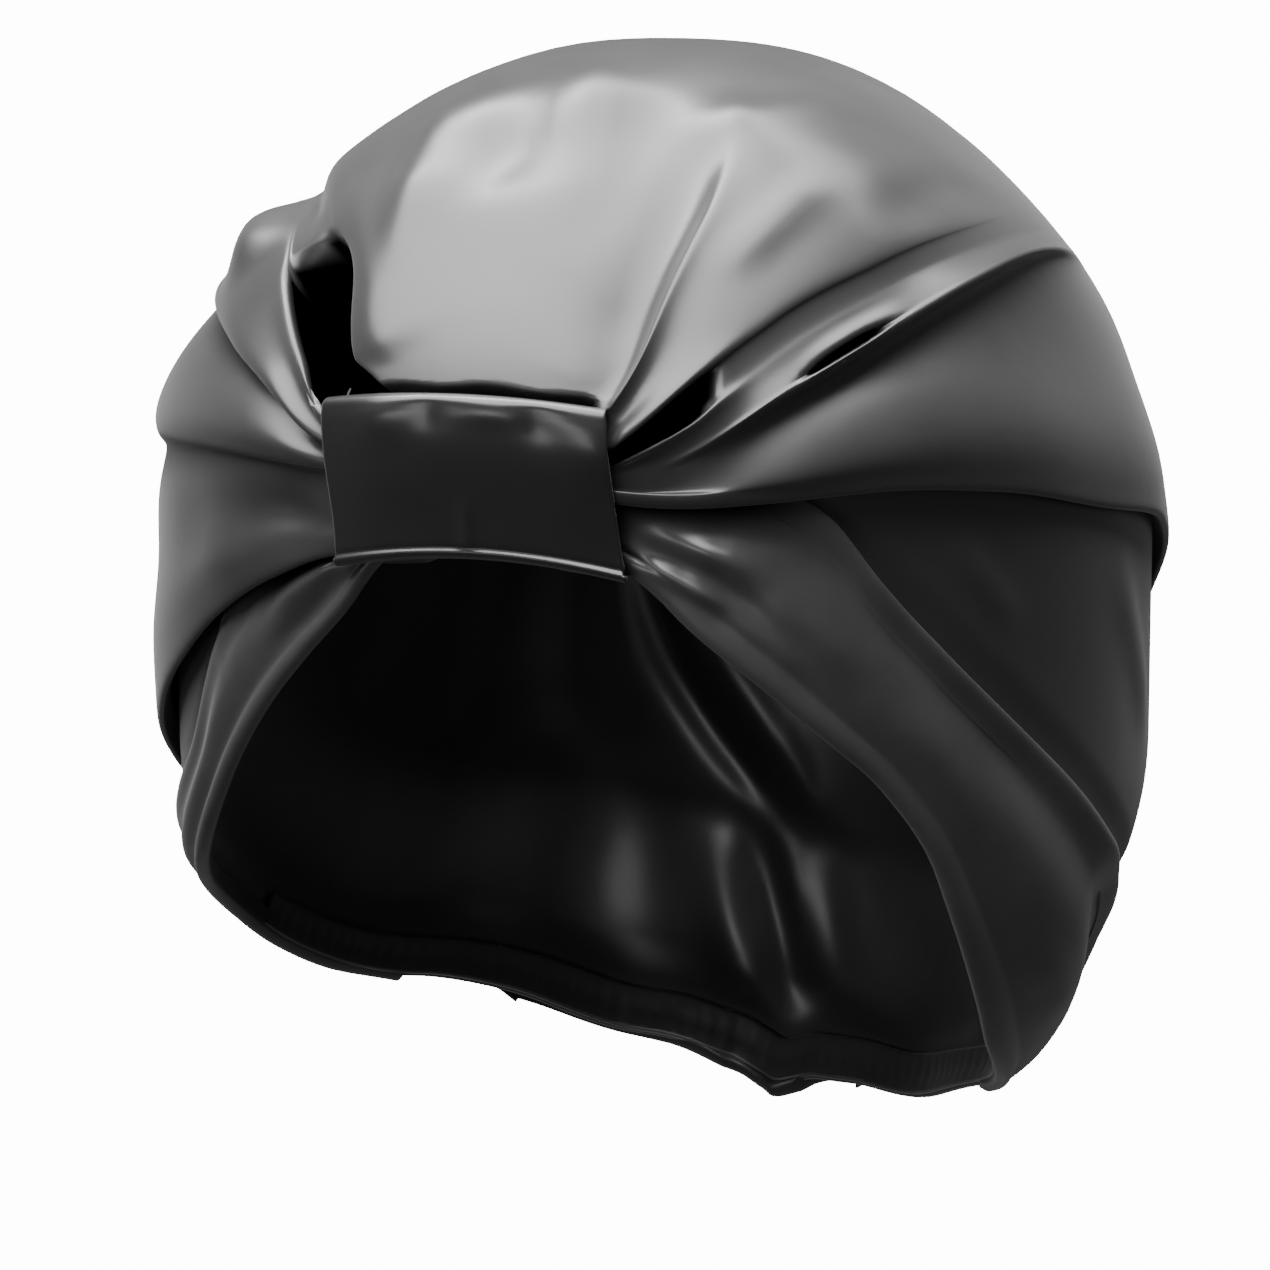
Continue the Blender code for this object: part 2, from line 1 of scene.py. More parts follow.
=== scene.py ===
"""The looks of a black satin turban headwrap in its worn form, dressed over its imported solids.

Metres, +Z up, the brow towards -Y and the wearer's left towards +X. The origin is where the crown of
the head bears on the lining. Each panel of cloth is a surface worked out from two shares, laid on one
smooth head form and lifted off it by the folds' heights.
"""

from __future__ import annotations

import logging
import math
from collections.abc import Callable
from dataclasses import dataclass
from enum import Enum

import bpy
import numpy as np
from mathutils import Matrix, Vector

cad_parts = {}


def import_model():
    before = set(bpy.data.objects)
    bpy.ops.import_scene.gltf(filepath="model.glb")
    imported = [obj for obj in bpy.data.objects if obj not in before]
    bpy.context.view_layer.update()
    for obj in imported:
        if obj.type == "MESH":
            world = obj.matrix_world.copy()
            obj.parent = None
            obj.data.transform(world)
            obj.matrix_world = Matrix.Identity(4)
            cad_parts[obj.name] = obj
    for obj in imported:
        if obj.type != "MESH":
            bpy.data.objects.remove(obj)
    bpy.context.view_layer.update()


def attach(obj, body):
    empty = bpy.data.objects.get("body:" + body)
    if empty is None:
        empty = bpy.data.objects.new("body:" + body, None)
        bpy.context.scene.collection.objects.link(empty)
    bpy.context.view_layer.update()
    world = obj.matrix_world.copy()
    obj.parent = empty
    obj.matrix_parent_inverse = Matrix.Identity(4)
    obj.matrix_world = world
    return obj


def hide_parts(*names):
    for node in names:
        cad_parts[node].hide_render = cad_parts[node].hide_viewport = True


LOG = logging.getLogger("turban_headwrap")
Array = np.ndarray
MM = 0.001


def smooth(t: Array) -> Array:
    """Zero below 0, one above 1, and 3t^2 - 2t^3 between."""
    t = np.clip(t, 0.0, 1.0)
    return t * t * (3.0 - 2.0 * t)


def envelope(x: Array, start: float, full: float, fade: float, end: float) -> Array:
    """A strength that rises from start to full, stays, and falls from fade to end."""
    return smooth((x - start) / (full - start)) * smooth((end - x) / (end - fade))


def through(x: Array, knots: Array, values: Array) -> Array:
    """A smooth curve through a table: cubic between knots, with the slope at a knot that of its neighbours.

    Args:
        x: where the curve is wanted.
        knots: the table's places, rising.
        values: the table's values.

    Returns:
        The curve's values at x.
    """
    knots, values = np.asarray(knots, float), np.asarray(values, float)
    slopes = np.gradient(values, knots)
    x = np.clip(x, knots[0], knots[-1])
    i = np.clip(np.searchsorted(knots, x) - 1, 0, len(knots) - 2)
    step = knots[i + 1] - knots[i]
    t = (x - knots[i]) / step
    hermite_a = (1 + 2 * t) * (1 - t) ** 2 * values[i] + t * (1 - t) ** 2 * slopes[i] * step
    hermite_b = t * t * (3 - 2 * t) * values[i + 1] + t * t * (t - 1) * slopes[i + 1] * step
    return hermite_a + hermite_b


def spline_weights(counts: list[int]) -> Array:
    """The weights that carry a smooth profile across control lines.

    A uniform cubic B-spline with its end lines repeated: each column is a weighted mean of the four control
    lines around it, so a fold has no kink and never overshoots.

    Args:
        counts: the number of columns in each span from one control line to the next.

    Returns:
        An array of columns by control lines.
    """
    places = np.concatenate([i + np.arange(n) / n for i, n in enumerate(counts)] + [[float(len(counts))]])
    lines = len(counts) + 1
    span = np.minimum(places.astype(int), lines - 2)
    t = places - span
    parts = np.stack([(1 - t) ** 3, 3 * t**3 - 6 * t**2 + 4, -3 * t**3 + 3 * t**2 + 3 * t + 1, t**3]) / 6
    weights = np.zeros((len(places), lines))
    for step in range(4):
        line = np.clip(span + step - 1, 0, lines - 1)
        np.add.at(weights, (np.arange(len(places)), line), parts[step])
    return weights


def grid(rows: int, columns: int) -> list[Array]:
    """The shares from 0 to 1 down the rows and across the columns, at each place of a grid."""
    return np.meshgrid(np.linspace(0, 1, rows), np.linspace(0, 1, columns), indexing="ij")


def halved(inside: Callable[[Array], Array], low: Array, high: Array, times: int) -> Array:
    """Where a test stops holding, by halving the stretch that holds the place.

    Args:
        inside: tells for each place whether it is still inside.
        low: places inside.
        high: places outside.
        times: how often the stretch is halved.

    Returns:
        The places between low and high where the test changes.
    """
    for _ in range(times):
        middle = (low + high) / 2
        within = inside(middle)
        low, high = np.where(within, middle, low), np.where(within, high, middle)
    return (low + high) / 2


@dataclass(frozen=True)
class HeadForm:
    """The smooth form that every panel follows, and its two angles: tau from the band (0) to the nape (180),
    and psi around that line from the wearer's left (0) over the top (90) to the right (180)."""

    half_width: float = 0.104
    front: float = 0.106
    back: float = 0.118
    top: float = 0.105
    taper_start: float = -0.040
    taper_end: float = -0.130
    side_taper: float = 0.42
    back_taper: float = 0.40
    front_taper: float = 0.25
    band_height: float = 0.026
    band_share: float = 0.95
    nape_depth: float = 0.146
    nape_reach: float = 0.066
    centre_height: float = -0.085
    taper_limit: float = 1.3
    gather_height: float = 0.0013
    gather_pitch: float = 0.0400
    gather_from: float = 0.62
    gather_over: float = 0.25
    gather_behind: float = 0.30
    brow_draw: float = 0.0145
    brow_draw_top: float = 0.0400
    brow_draw_drop: float = 0.0340
    brow_draw_width: float = 0.0700
    brow_draw_before: float = 0.5
    ray_reach: float = 4.0
    ray_halvings: int = 36
    slope_step: float = 1e-5

    def __post_init__(self) -> None:
        """Works out the axes of the two angles."""
        band = np.array([0.0, -self.band_share * self.front, self.band_height])
        nape = np.array([0.0, self.nape_reach, -self.nape_depth])
        along = (band - nape) / np.linalg.norm(band - nape)
        across = np.array([1.0, 0.0, 0.0])
        over = np.cross(along, across)
        object.__setattr__(self, "eye", (band + nape) / 2)
        object.__setattr__(self, "along", along)
        object.__setattr__(self, "across", across)
        object.__setattr__(self, "over", over if over[2] > 0 else -over)
        object.__setattr__(self, "centre", np.array([0.0, 0.0, self.centre_height]))

    def taper(self, z: Array, amount: float) -> Array:
        """How much narrower the form is at a height: one less a square law below the taper's start."""
        t = np.clip((self.taper_start - z) / (self.taper_start - self.taper_end), 0.0, self.taper_limit)
        return 1.0 - amount * t * t

    def value(self, p: Array) -> Array:
        """Below zero inside: half an ellipsoid over a tube that narrows to the nape.

        Args:
            p: points of the form, in its own frame, by 3.

        Returns:
            The form's value at each point.
        """
        x, y, z = p[..., 0], p[..., 1], p[..., 2]
        behind, before = self.back * self.taper(z, self.back_taper), self.front * self.taper(z, self.front_taper)
        depth = np.where(y > 0, behind, before)
        width = self.half_width * self.taper(z, self.side_taper)
        return (x / width) ** 2 + (y / depth) ** 2 + (np.maximum(z, 0) / self.top) ** 2 - 1.0

    def along_ray(self, start: Array, ray: Array) -> Array:
        """Where rays from inside leave the form.

        Args:
            start: where the rays start, one place or one for each ray.
            ray: their directions.

        Returns:
            The place on the form that each ray meets.
        """
        far = np.full(ray.shape[:-1], self.ray_reach * self.back)
        near = np.zeros(ray.shape[:-1])
        reach = halved(lambda t: self.value(start + t[..., None] * ray) < 0, near, far, self.ray_halvings)
        return start + reach[..., None] * ray

    def ray(self, tau: Array, psi: Array) -> Array:
        """The direction of the two angles.

        Args:
            tau: degrees from the band (0) to the nape (180).
            psi: degrees around that line.

        Returns:
            Directions from the eye, each of length one.
        """
        tau, psi = np.radians(tau), np.radians(psi)
        sideways = (np.sin(tau) * np.cos(psi))[..., None] * self.across
        return np.cos(tau)[..., None] * self.along + sideways + (np.sin(tau) * np.sin(psi))[..., None] * self.over

    def point(self, tau: Array, psi: Array) -> Array:
        """The form's point in the direction of the two angles."""
        return self.along_ray(self.eye, self.ray(tau, psi))

    def normal(self, p: Array) -> Array:
        """The outward direction: the slope of the form's value, to length one.

        Args:
            p: points of the form, in its own frame, by 3.

        Returns:
            The outward directions.
        """
        steps = np.eye(3) * self.slope_step
        gradient = np.stack([self.value(p + step) - self.value(p - step) for step in steps], -1)
        return gradient / np.linalg.norm(gradient, axis=-1, keepdims=True)

    def gathers(self, p: Array) -> Array:
        """The waves that the nape's elastic draws into every layer: a cosine across, fading in towards the hem.

        Args:
            p: points of the form, in its own frame, by 3.

        Returns:
            The added lift in metres.
        """
        low = smooth((-p[..., 2] / self.nape_depth - self.gather_from) / self.gather_over)
        behind = smooth(p[..., 1] / (self.gather_behind * self.back))
        return self.gather_height * low * behind * np.cos(2 * math.pi * p[..., 0] / self.gather_pitch)

    def draw(self, p: Array) -> Array:
        """How far the band pulls every layer in under it: a bell across, fading out upwards.

        Args:
            p: points of the form, in its own frame, by 3.

        Returns:
            The lift taken away, in metres.
        """
        low = smooth((self.brow_draw_top - p[..., 2]) / self.brow_draw_drop)
        near = np.exp(-((p[..., 0] / self.brow_draw_width) ** 2))
        return self.brow_draw * low * near * smooth(-p[..., 1] / (self.brow_draw_before * self.front))

    def lifted(self, p: Array, lift: Array) -> Array:
        """Points of the form lifted off it along its normal, in the part's own frame."""
        return self.centre + p + (lift + self.gathers(p) - self.draw(p))[..., None] * self.normal(p)

    def placed(self, tau: Array, psi: Array, lift: Array) -> Array:
        """The cloth's place at two angles and a lift."""
        return self.lifted(self.point(tau, psi), lift)

    def around(self, tau: Array, psi: Array) -> Array:
        """Metres of cloth to one radian of psi."""
        return np.linalg.norm(self.point(tau, psi) - self.eye, axis=-1) * np.sin(np.radians(tau))


FORM = HeadForm()

PANEL_WALL = 0.0009
CROWN_LIFT = 0.0015
BROW_LIFT = -0.0005
SIDE_LIFT = -0.0025
LINING_LIFT = -0.0045
CASING_LIFT = -0.0063

# The crown's fold lines, from its edge over the left ear to its edge over the right ear: psi at each tau.
LINE_TAUS = (14, 20, 28, 38, 50, 66, 82, 105, 125, 150)
CROWN_LINES = {
    "left_edge": (-4, 0.3, 6.8, 14, 20.2, 27.5, 37, 48, 50, 22),
    "flank": (0, 8.5, 21.5, 32.5, 42.5, 52, 58, 62, 61, 42),
    "eyelet": (3.5, 13, 25, 35.3, 44.5, 54, 61, 65, 64, 47),
    "tunnel_lip": (7, 17.5, 30, 38.5, 46.5, 56, 64, 68, 67, 52),
    "tunnel_crest": (11, 24.3, 34.7, 41.6, 48.5, 58, 67, 72, 71, 58),
    "left_tuck": (24, 44.3, 58.2, 69.5, 76, 80, 83, 84, 83, 80),
    "loop_inner": (149, 134, 130, 124, 118, 112, 108, 106, 107, 110),
    "loop_outer": (163, 151.5, 139, 130, 123, 117, 113, 111, 112, 116),
    "right_tuck": (170.5, 159, 151.7, 145.3, 138, 132, 128, 126, 127, 132),
    "right_pleat": (177.5, 173.5, 168.8, 164, 158.5, 152, 148, 146, 147, 150),
    "right_edge": (207, 198.5, 193.3, 189.6, 187, 183, 178.5, 174, 171, 167),
}
NAPE_HEM_PSI = (-12, -5, 0, 14, 40, 62, 90, 118, 145, 160, 168, 174, 180)
NAPE_HEM_TAU = (131.5, 148, 155.4, 165.8, 172.4, 175, 174.8, 172.5, 167, 158, 148, 139, 131)


def line_psi(number: Array, tau: Array) -> Array:
    """psi of a crown line, or of a place between two of them, at each tau.

    Args:
        number: places among the fold lines, 0 for the first.
        tau: the tau of each.

    Returns:
        psi of each, in degrees.
    """
    lines = list(CROWN_LINES.values())
    number = np.asarray(number, float)
    whole = np.clip(np.floor(number).astype(int), 0, len(lines) - 2)
    at = np.stack([through(tau, LINE_TAUS, line) for line in lines])
    lower = np.take_along_axis(at, whole[None], 0)[0]
    upper = np.take_along_axis(at, whole[None] + 1, 0)[0]
    return lower + (upper - lower) * (number - whole)


def nape_hem(psi: Array) -> Array:
    """tau at which the cloth ends at the nape."""
    return through(psi, NAPE_HEM_PSI, NAPE_HEM_TAU)


def set_inputs(tree: bpy.types.NodeTree, node: bpy.types.Node, inputs: dict) -> None:
    """Gives each named or numbered input of a node its value, or a link from another node's output.

    Args:
        tree: the material's nodes.
        node: the node.
        inputs: a value or an output for each input.
    """
    for name, value in inputs.items():
        if isinstance(value, bpy.types.NodeSocket):
            tree.links.new(value, node.inputs[name])
        else:
            node.inputs[name].default_value = value


def add_node(tree: bpy.types.NodeTree, kind: str, output: str, inputs: dict, **settings: str) -> bpy.types.NodeSocket:
    """Adds a shader node.

    Args:
        tree: the material's nodes.
        kind: the node's type, without the ShaderNode that it starts with.
        output: the name of the output that is wanted.
        inputs: a value or another node's output for each input.
        settings: the node's own settings.

    Returns:
        The wanted output.
    """
    node = tree.nodes.new("ShaderNode" + kind)
    for name, value in settings.items():
        setattr(node, name, value)
    set_inputs(tree, node, inputs)
    return node.outputs[output]


@dataclass(frozen=True)
class Satin:
    """A finish of black satin: a smooth dark ground with a fine weave and a soft sheen. Scales are in waves per
    metre, and heights in metres."""

    name: str
    shade: float = 0.016
    roughness: float = 0.34
    gloss_change: float = 0.05
    specular: float = 0.55
    sheen: float = 0.10
    sheen_roughness: float = 0.45
    warp_scale: tuple = (2600.0, 240.0, 1.0)
    warp_detail: float = 2.0
    warp_height: float = 0.000016
    slub_scale: float = 260.0
    slub_detail: float = 3.0
    slub_height: float = 0.00004
    bump_strength: float = 0.6
    mottle: float = 0.35
    mottle_scale: float = 38.0
    mottle_detail: float = 4.0
    mottle_roughness: float = 0.6

    def normal(self, tree: bpy.types.NodeTree, place: bpy.types.NodeSocket) -> bpy.types.NodeSocket:
        """The bump of the weave along the cloth's own UV map, and of slubs on Object coordinates over it.

        Args:
            tree: the material's nodes.
            place: the Object coordinates.

        Returns:
            The bumped normal.
        """
        woven = add_node(tree, "TexCoord", "UV", {})
        threads = add_node(tree, "Mapping", "Vector", {"Vector": woven, "Scale": self.warp_scale})
        warp = add_node(tree, "TexNoise", "Fac", {"Vector": threads, "Scale": 1.0, "Detail": self.warp_detail})
        weave = {"Height": warp, "Strength": self.bump_strength, "Distance": self.warp_height}
        below = add_node(tree, "Bump", "Normal", weave)
        look = {"Vector": place, "Scale": self.slub_scale, "Detail": self.slub_detail}
        slubs = {"Height": add_node(tree, "TexNoise", "Fac", look), "Normal": below}
        slubs |= {"Strength": self.bump_strength, "Distance": self.slub_height}
        return add_node(tree, "Bump", "Normal", slubs)

    def material(self) -> bpy.types.Material:
        """Builds the procedural material: a mottled ground with painted shade that darkens it in the folds, with the
        weave's bump.

        Returns:
            The material.
        """
        material = bpy.data.materials.new(self.name)
        material.use_nodes = True
        tree = material.node_tree
        place = add_node(tree, "TexCoord", "Object", {})
        painted_shade = add_node(tree, "Attribute", "Fac", {}, attribute_name="painted_shade")
        look = {"Scale": self.mottle_scale, "Detail": self.mottle_detail, "Roughness": self.mottle_roughness}
        mottle = add_node(tree, "TexNoise", "Fac", {"Vector": place, **look})

        def between(share: bpy.types.NodeSocket, low: float, high: float) -> bpy.types.NodeSocket:
            """A value that goes from low to high with a share."""
            return add_node(tree, "MapRange", "Result", {"Value": share, "To Min": low, "To Max": high})

        tone = between(mottle, 1.0 - self.mottle, 1.0 + self.mottle)
        shade = {0: (self.shade, self.shade, self.shade), "Scale": tone}
        colour = add_node(tree, "VectorMath", "Vector", shade, operation="SCALE")
        # Painted shade: the point attribute darkens the ground, the specular and the sheen towards black deep in
        # folds and under overlapping edges, in place of the shade that falls there.
        unshaded_share = add_node(tree, "Math", "Value", {0: 1.0, 1: painted_shade}, operation="SUBTRACT")
        ground = add_node(tree, "VectorMath", "Vector", {0: colour, "Scale": unshaded_share}, operation="SCALE")
        set_inputs(tree, tree.nodes["Principled BSDF"], {
            "Base Color": ground,
            "Metallic": 0.0,
            "Roughness": between(mottle, self.roughness - self.gloss_change, self.roughness + self.gloss_change),
            "Specular IOR Level": between(painted_shade, self.specular, 0.0),
            "Sheen Weight": between(painted_shade, self.sheen, 0.0),
            "Sheen Roughness": self.sheen_roughness,
            "Normal": self.normal(tree, place),
        })
        return material


class Finish(Enum):
    """The finishes of the headwrap's cloth: one black satin, whose ground is painted darker on the band as painted
    shade, and lighter on the brow wraps, the lining and the nape casing as painted light.
    """

    CROWN = Satin("crown_satin", roughness=0.37, sheen=0.14)
    # The band's ground is painted darker than the crown's, as painted shade on its upright face.
    BAND = Satin("band_satin", shade=0.008, roughness=0.30, mottle=0.45)
    # The brow wraps' ground is painted lighter, as painted highlight on them.
    BROW = Satin("brow_satin", shade=0.030, roughness=0.34, specular=0.65, mottle=0.55)
    SIDE = Satin("side_satin", shade=0.012, roughness=0.42)
    # The lining's ground is painted lighter, as painted light for the little light that reaches inside.
    LINING = Satin("lining_satin", shade=0.030, roughness=0.40, specular=0.7, sheen=0.2)


@dataclass(frozen=True)
class Cut:
    """The flat piece of cloth that a panel is sewn from: the width and length of the rectangle that it is cut out
    of and its own area, in metres and square metres, how it is held on the headwrap, and what it lies on."""

    width: float
    length: float
    area: float
    held: str
    rests_on: str


@dataclass
class Panel:
    """One panel of cloth: a grid of places, dressed in a finish, with a wall inward from its outer face."""

    name: str
    slot: Finish
    replaces: str
    wall: float = PANEL_WALL

    def build(self, places: Array, painted_shade: Array | None = None) -> None:
        """Makes the panel's mesh, dresses it, rides it on the frame and reports it.

        Args:
            places: rows by columns by 3, the outer face.
            painted_shade: rows by columns, the painted shade from 0 on the open cloth to 1 deep in a fold, where the
                cloth is painted dark as if it took no light.
        """
        rows, columns = places.shape[:2]
        number = np.arange(rows * columns).reshape(rows, columns)
        quads = np.stack([number[:-1, :-1], number[:-1, 1:], number[1:, 1:], number[1:, :-1]], -1).reshape(-1, 4)
        points = places.reshape(-1, 3)
        corners = points[quads]
        facing = np.cross(corners[:, 2] - corners[:, 0], corners[:, 3] - corners[:, 1])
        if np.sum(facing * (corners.mean(1) - FORM.centre)) < 0:
            quads = quads[:, ::-1]
        mesh = bpy.data.meshes.new(self.name)
        mesh.from_pydata(points.tolist(), [], quads.tolist())
        layer = mesh.uv_layers.new(name="cloth")
        loops = np.empty(len(mesh.loops), np.int32)
        mesh.loops.foreach_get("vertex_index", loops)
        cloth = cloth_metres(places).reshape(-1, 2)
        layer.data.foreach_set("uv", cloth[loops].astype(np.float32).ravel())
        # Store the painted shade as a point attribute for the finish to darken the cloth by.
        if painted_shade is not None:
            painted_shade_layer = mesh.attributes.new("painted_shade", "FLOAT", "POINT")
            painted_shade_layer.data.foreach_set("value", painted_shade.astype(np.float32).ravel())
        mesh.materials.append(MATERIALS[self.slot])
        mesh.shade_smooth()
        panel = bpy.data.objects.new(self.name, mesh)
        bpy.context.scene.collection.objects.link(panel)
        wall = panel.modifiers.new("wall", "SOLIDIFY")
        wall.thickness = self.wall
        wall.offset = -1.0
        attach(panel, "root")
        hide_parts(self.replaces)
        LOG.info("%s: %d by %d places", self.name, rows, columns)


MATERIALS: dict[Finish, bpy.types.Material] = {}


def cloth_metres(places: Array) -> Array:
    """Metres along the cloth from its middle row and first column, by the lengths between neighbouring places.

    Args:
        places: rows by columns by 3.

    Returns:
        Rows by columns by 2, across and along.
    """
    along = np.linalg.norm(np.diff(places, axis=0), axis=-1)
    across = np.linalg.norm(np.diff(places, axis=1), axis=-1)
    v = np.vstack([np.zeros((1, places.shape[1])), np.cumsum(along, 0)])
    u = np.hstack([np.zeros((places.shape[0], 1)), np.cumsum(across, 1)])
    return np.stack([u, v], -1)


@dataclass(frozen=True)
class Line:
    """A control line of a panel's profile.

    at is its place among the crown's fold lines, height and sideways are in millimetres, and the fold comes
    and goes along tau by start, full, fade and end. columns is how many of the grid's columns run to the next line.
    """

    name: str
    at: float
    height: float
    sideways: float
    start: float
    full: float
    fade: float
    end: float
    columns: int = 6


@dataclass(frozen=True)
class Opening:
    """A hole that a pleat leaves: how one control line sinks and shifts, in millimetres, over a stretch of tau."""

    line: str
    height: float
    sideways: float
    start: float
    full: float
    fade: float
    end: float


@dataclass(frozen=True)
class Swell:
    """A soft swell of the cloth: its middle, and its height and radius in millimetres."""

    tau: float
    psi: float
    height: float
    radius: float


@dataclass(frozen=True)
class Pull:
    """A soft crease or ridge of the cloth along a few places given as tau and psi, with its height (below zero
    for a valley) and half width in millimetres."""

    places: tuple
    height: float
    width: float


PULL_STRETCH = (-0.02, 0.35, 0.6, 1.02)


def strength(fold: Line | Opening | Strip, x: Array) -> Array:
    """How strongly a fold stands along the stretch from its start to its end."""
    return envelope(x, fold.start, fold.full, fold.fade, fold.end)


def relief(p: Array, swells: tuple, pulls: tuple = ()) -> Array:
    """The height that swells and pulls add: a bell around each swell's middle, and a bell across each pull that
    fades in and out along it.

    Args:
        p: points of the form.
        swells: the soft swells.
        pulls: the creases and ridges.

    Returns:
        The added lift at each point, in metres.
    """
    added = np.zeros(p.shape[:-1])
    for swell in swells:
        middle = FORM.point(np.array(float(swell.tau)), np.array(float(swell.psi)))
        far = np.linalg.norm(p - middle, axis=-1) / (swell.radius * MM)
        added += swell.height * MM * np.exp(-far * far)
    for pull in pulls:
        spine = FORM.point(*np.array(pull.places, float).T)
        lengths = np.linalg.norm(np.diff(spine, axis=0), axis=-1)
        reach = np.concatenate([[0], np.cumsum(lengths)]) / lengths.sum()
        nearest = np.full(p.shape[:-1], np.inf)
        along = np.zeros(p.shape[:-1])
        for number, length in enumerate(lengths):
            step = (spine[number + 1] - spine[number]) / length
            share = np.clip((p - spine[number]) @ step, 0, length)
            away = np.linalg.norm(p - spine[number] - share[..., None] * step, axis=-1)
            closer = away < nearest
            nearest = np.where(closer, away, nearest)
            along = np.where(closer, reach[number] + share / length * (reach[number + 1] - reach[number]), along)
        bell = np.exp(-((nearest / (pull.width * MM)) ** 2))
        added += pull.height * MM * bell * envelope(along, *PULL_STRETCH)
    return added


ALWAYS = (0.0, 0.5, 170.0, 178.0)

CROWN_PROFILE = (
    Line("left_hem_inside", 0, -1.5, 6.0, *ALWAYS, 3),
    Line("left_hem_under", 0, -1.3, 2.5, *ALWAYS, 3),
    Line("left_hem_roll", 0, 0.2, -1.0, *ALWAYS, 4),
    Line("left_hem_top", 0, 2.0, -0.8, *ALWAYS, 5),
    Line("left_hem_back", 0, 2.4, 2.0, *ALWAYS, 5),
    Line("left_belly_low", 0.30, 4.8, -3.4, 18, 32, 66, 110),
    Line("left_belly", 0.60, 0.8, 0, 18, 32, 60, 84, 7),
    Line("ridge_valley", 0.90, -2.0, 0, 20, 34, 46, 66, 7),
    Line("ridge_under", 1.02, 0.2, 0, 22, 32, 44, 62),
    Line("ridge_lip", 1.14, 2.2, -0.2, 22, 32, 44, 66, 5),
    Line("ridge_top", 1.30, 3.8, -0.3, 18, 32, 48, 72, 7),
    Line("eyelet_low", 1.44, 3.6, 0, 18, 28, 50, 74, 5),
    Line("eyelet_under", 1.54, 3.4, 0, 18, 28, 50, 74, 4),
    Line("eyelet_floor", 1.64, 3.2, 0, 18, 28, 50, 74, 4),
    Line("eyelet_high", 1.80, 3.0, 0, 18, 28, 50, 74),
    Line("saddle", 2.40, 2.2, 0, 16, 26, 40, 62, 7),
    Line("tunnel_low", 2.85, 2.0, 0, 12, 18, 34, 60),
    Line("tunnel_wall", 3.05, 1.8, 0, 12, 18, 34, 60, 5),
    Line("tunnel_floor", 3.45, 1.8, 0, 12, 18, 34, 60),
    Line("tunnel_under", 3.92, 2.2, 0.6, 12, 17, 34, 60, 5),
    Line("crest_lip", 3.99, 2.8, -0.2, 11, 15, 34, 60, 4),
    Line("crest_edge", 4.03, 3.2, 0, 11, 15, 34, 60, 4),
    Line("crest_top", 4.12, 3.0, 0.6, 11, 15, 34, 60),
    Line("lobe_middle", 4.45, 2.4, 0, 13, 24, 34, 60, 7),
    Line("lobe_high", 4.78, 1.8, 0, 12, 20, 34, 56),
    Line("tuck_top", 4.93, 2.4, 0, 11, 16, 26, 38, 4),
    Line("tuck_lip", 4.99, 2.0, -0.4, 11, 16, 24, 36, 4),
    Line("tuck_under", 5.03, -1.6, -0.8, 11, 16, 26, 38, 4),
    Line("panel_a", 5.09, -3.4, 0, 12, 18, 27, 42, 5),
    Line("panel_b", 5.30, 0.3, 0, 14, 22, 36, 56, 7),
    Line("panel_c", 5.70, 0.6, 0, 14, 22, 40, 60, 8),
    Line("loop_shoulder", 5.83, 1.0, 0, 10, 13, 22, 34),
    Line("loop_crease", 5.88, 1.3, 0, 10, 13, 22, 34, 4),
    Line("loop_edge", 5.95, 0, -0.2, 9, 12, 24, 34, 5),
    Line("loop_brink", 5.965, 0, -0.2, 9, 12, 24, 34, 4),
    Line("loop_wall_in", 5.98, -0.6, 0, 9, 12, 24, 34, 5),
    Line("loop_floor_in", 6.04, 0, 0, 11, 15, 26, 34, 5),
    Line("loop_floor", 6.32, 0, 0, 11, 15, 26, 34),
    Line("loop_floor_out", 6.62, 0, 0, 11, 15, 26, 34),
    Line("loop_wall_out", 6.80, 0, 0, 11, 15, 26, 34, 5),
    Line("lobe_a_under", 6.81, 1.0, 0, 10, 14, 24, 34, 4),
    Line("lobe_a_lip", 6.84, 1.8, -0.6, 10, 14, 25, 36, 5),
    Line("lobe_a_top", 7.10, 1.6, 0, 12, 22, 33, 43, 7),
    Line("lobe_a_low", 7.66, 2.8, 0, 12, 22, 33, 46, 7),
    Line("lobe_a_edge", 7.94, 4.0, 1.2, 11, 18, 26, 46, 5),
    Line("second_fold_lip", 8.02, 1.8, 2.0, 11, 17, 38, 56, 4),
    Line("second_fold_under", 8.03, -1.8, 0, 11, 17, 38, 56, 4),
    Line("lobe_b_high", 8.25, -0.8, 0, 13, 22, 44, 66),
    Line("lobe_b", 8.60, 2.0, 0, 15, 26, 38, 60, 7),
    Line("lobe_b_low", 8.90, 3.8, 0, 12, 20, 54, 80, 5),
    Line("third_fold_lip", 9.00, 1.3, 1.2, 11, 17, 54, 80, 4),
    Line("third_fold_under", 9.02, -1.0, 0, 11, 17, 54, 80, 4),
    Line("lobe_c_high", 9.20, 1.4, 0, 13, 24, 56, 84),
    Line("lobe_c_valley", 9.42, -1.0, 0, 13, 20, 34, 46),
    Line("lobe_c", 9.70, 2.6, 0, 14, 28, 60, 90),
    Line("right_hem_back", 10.0, 1.8, -3.0, *ALWAYS, 5),
    Line("right_hem_top", 10.0, 1.4, 0.3, *ALWAYS, 4),
    Line("right_hem_roll", 10.0, -0.2, 0.8, *ALWAYS, 4),
    Line("right_hem_under", 10.0, -1.3, -2.5, *ALWAYS, 3),
    Line("right_hem_inside", 10.0, -1.5, -6.0, *ALWAYS, 3),
)

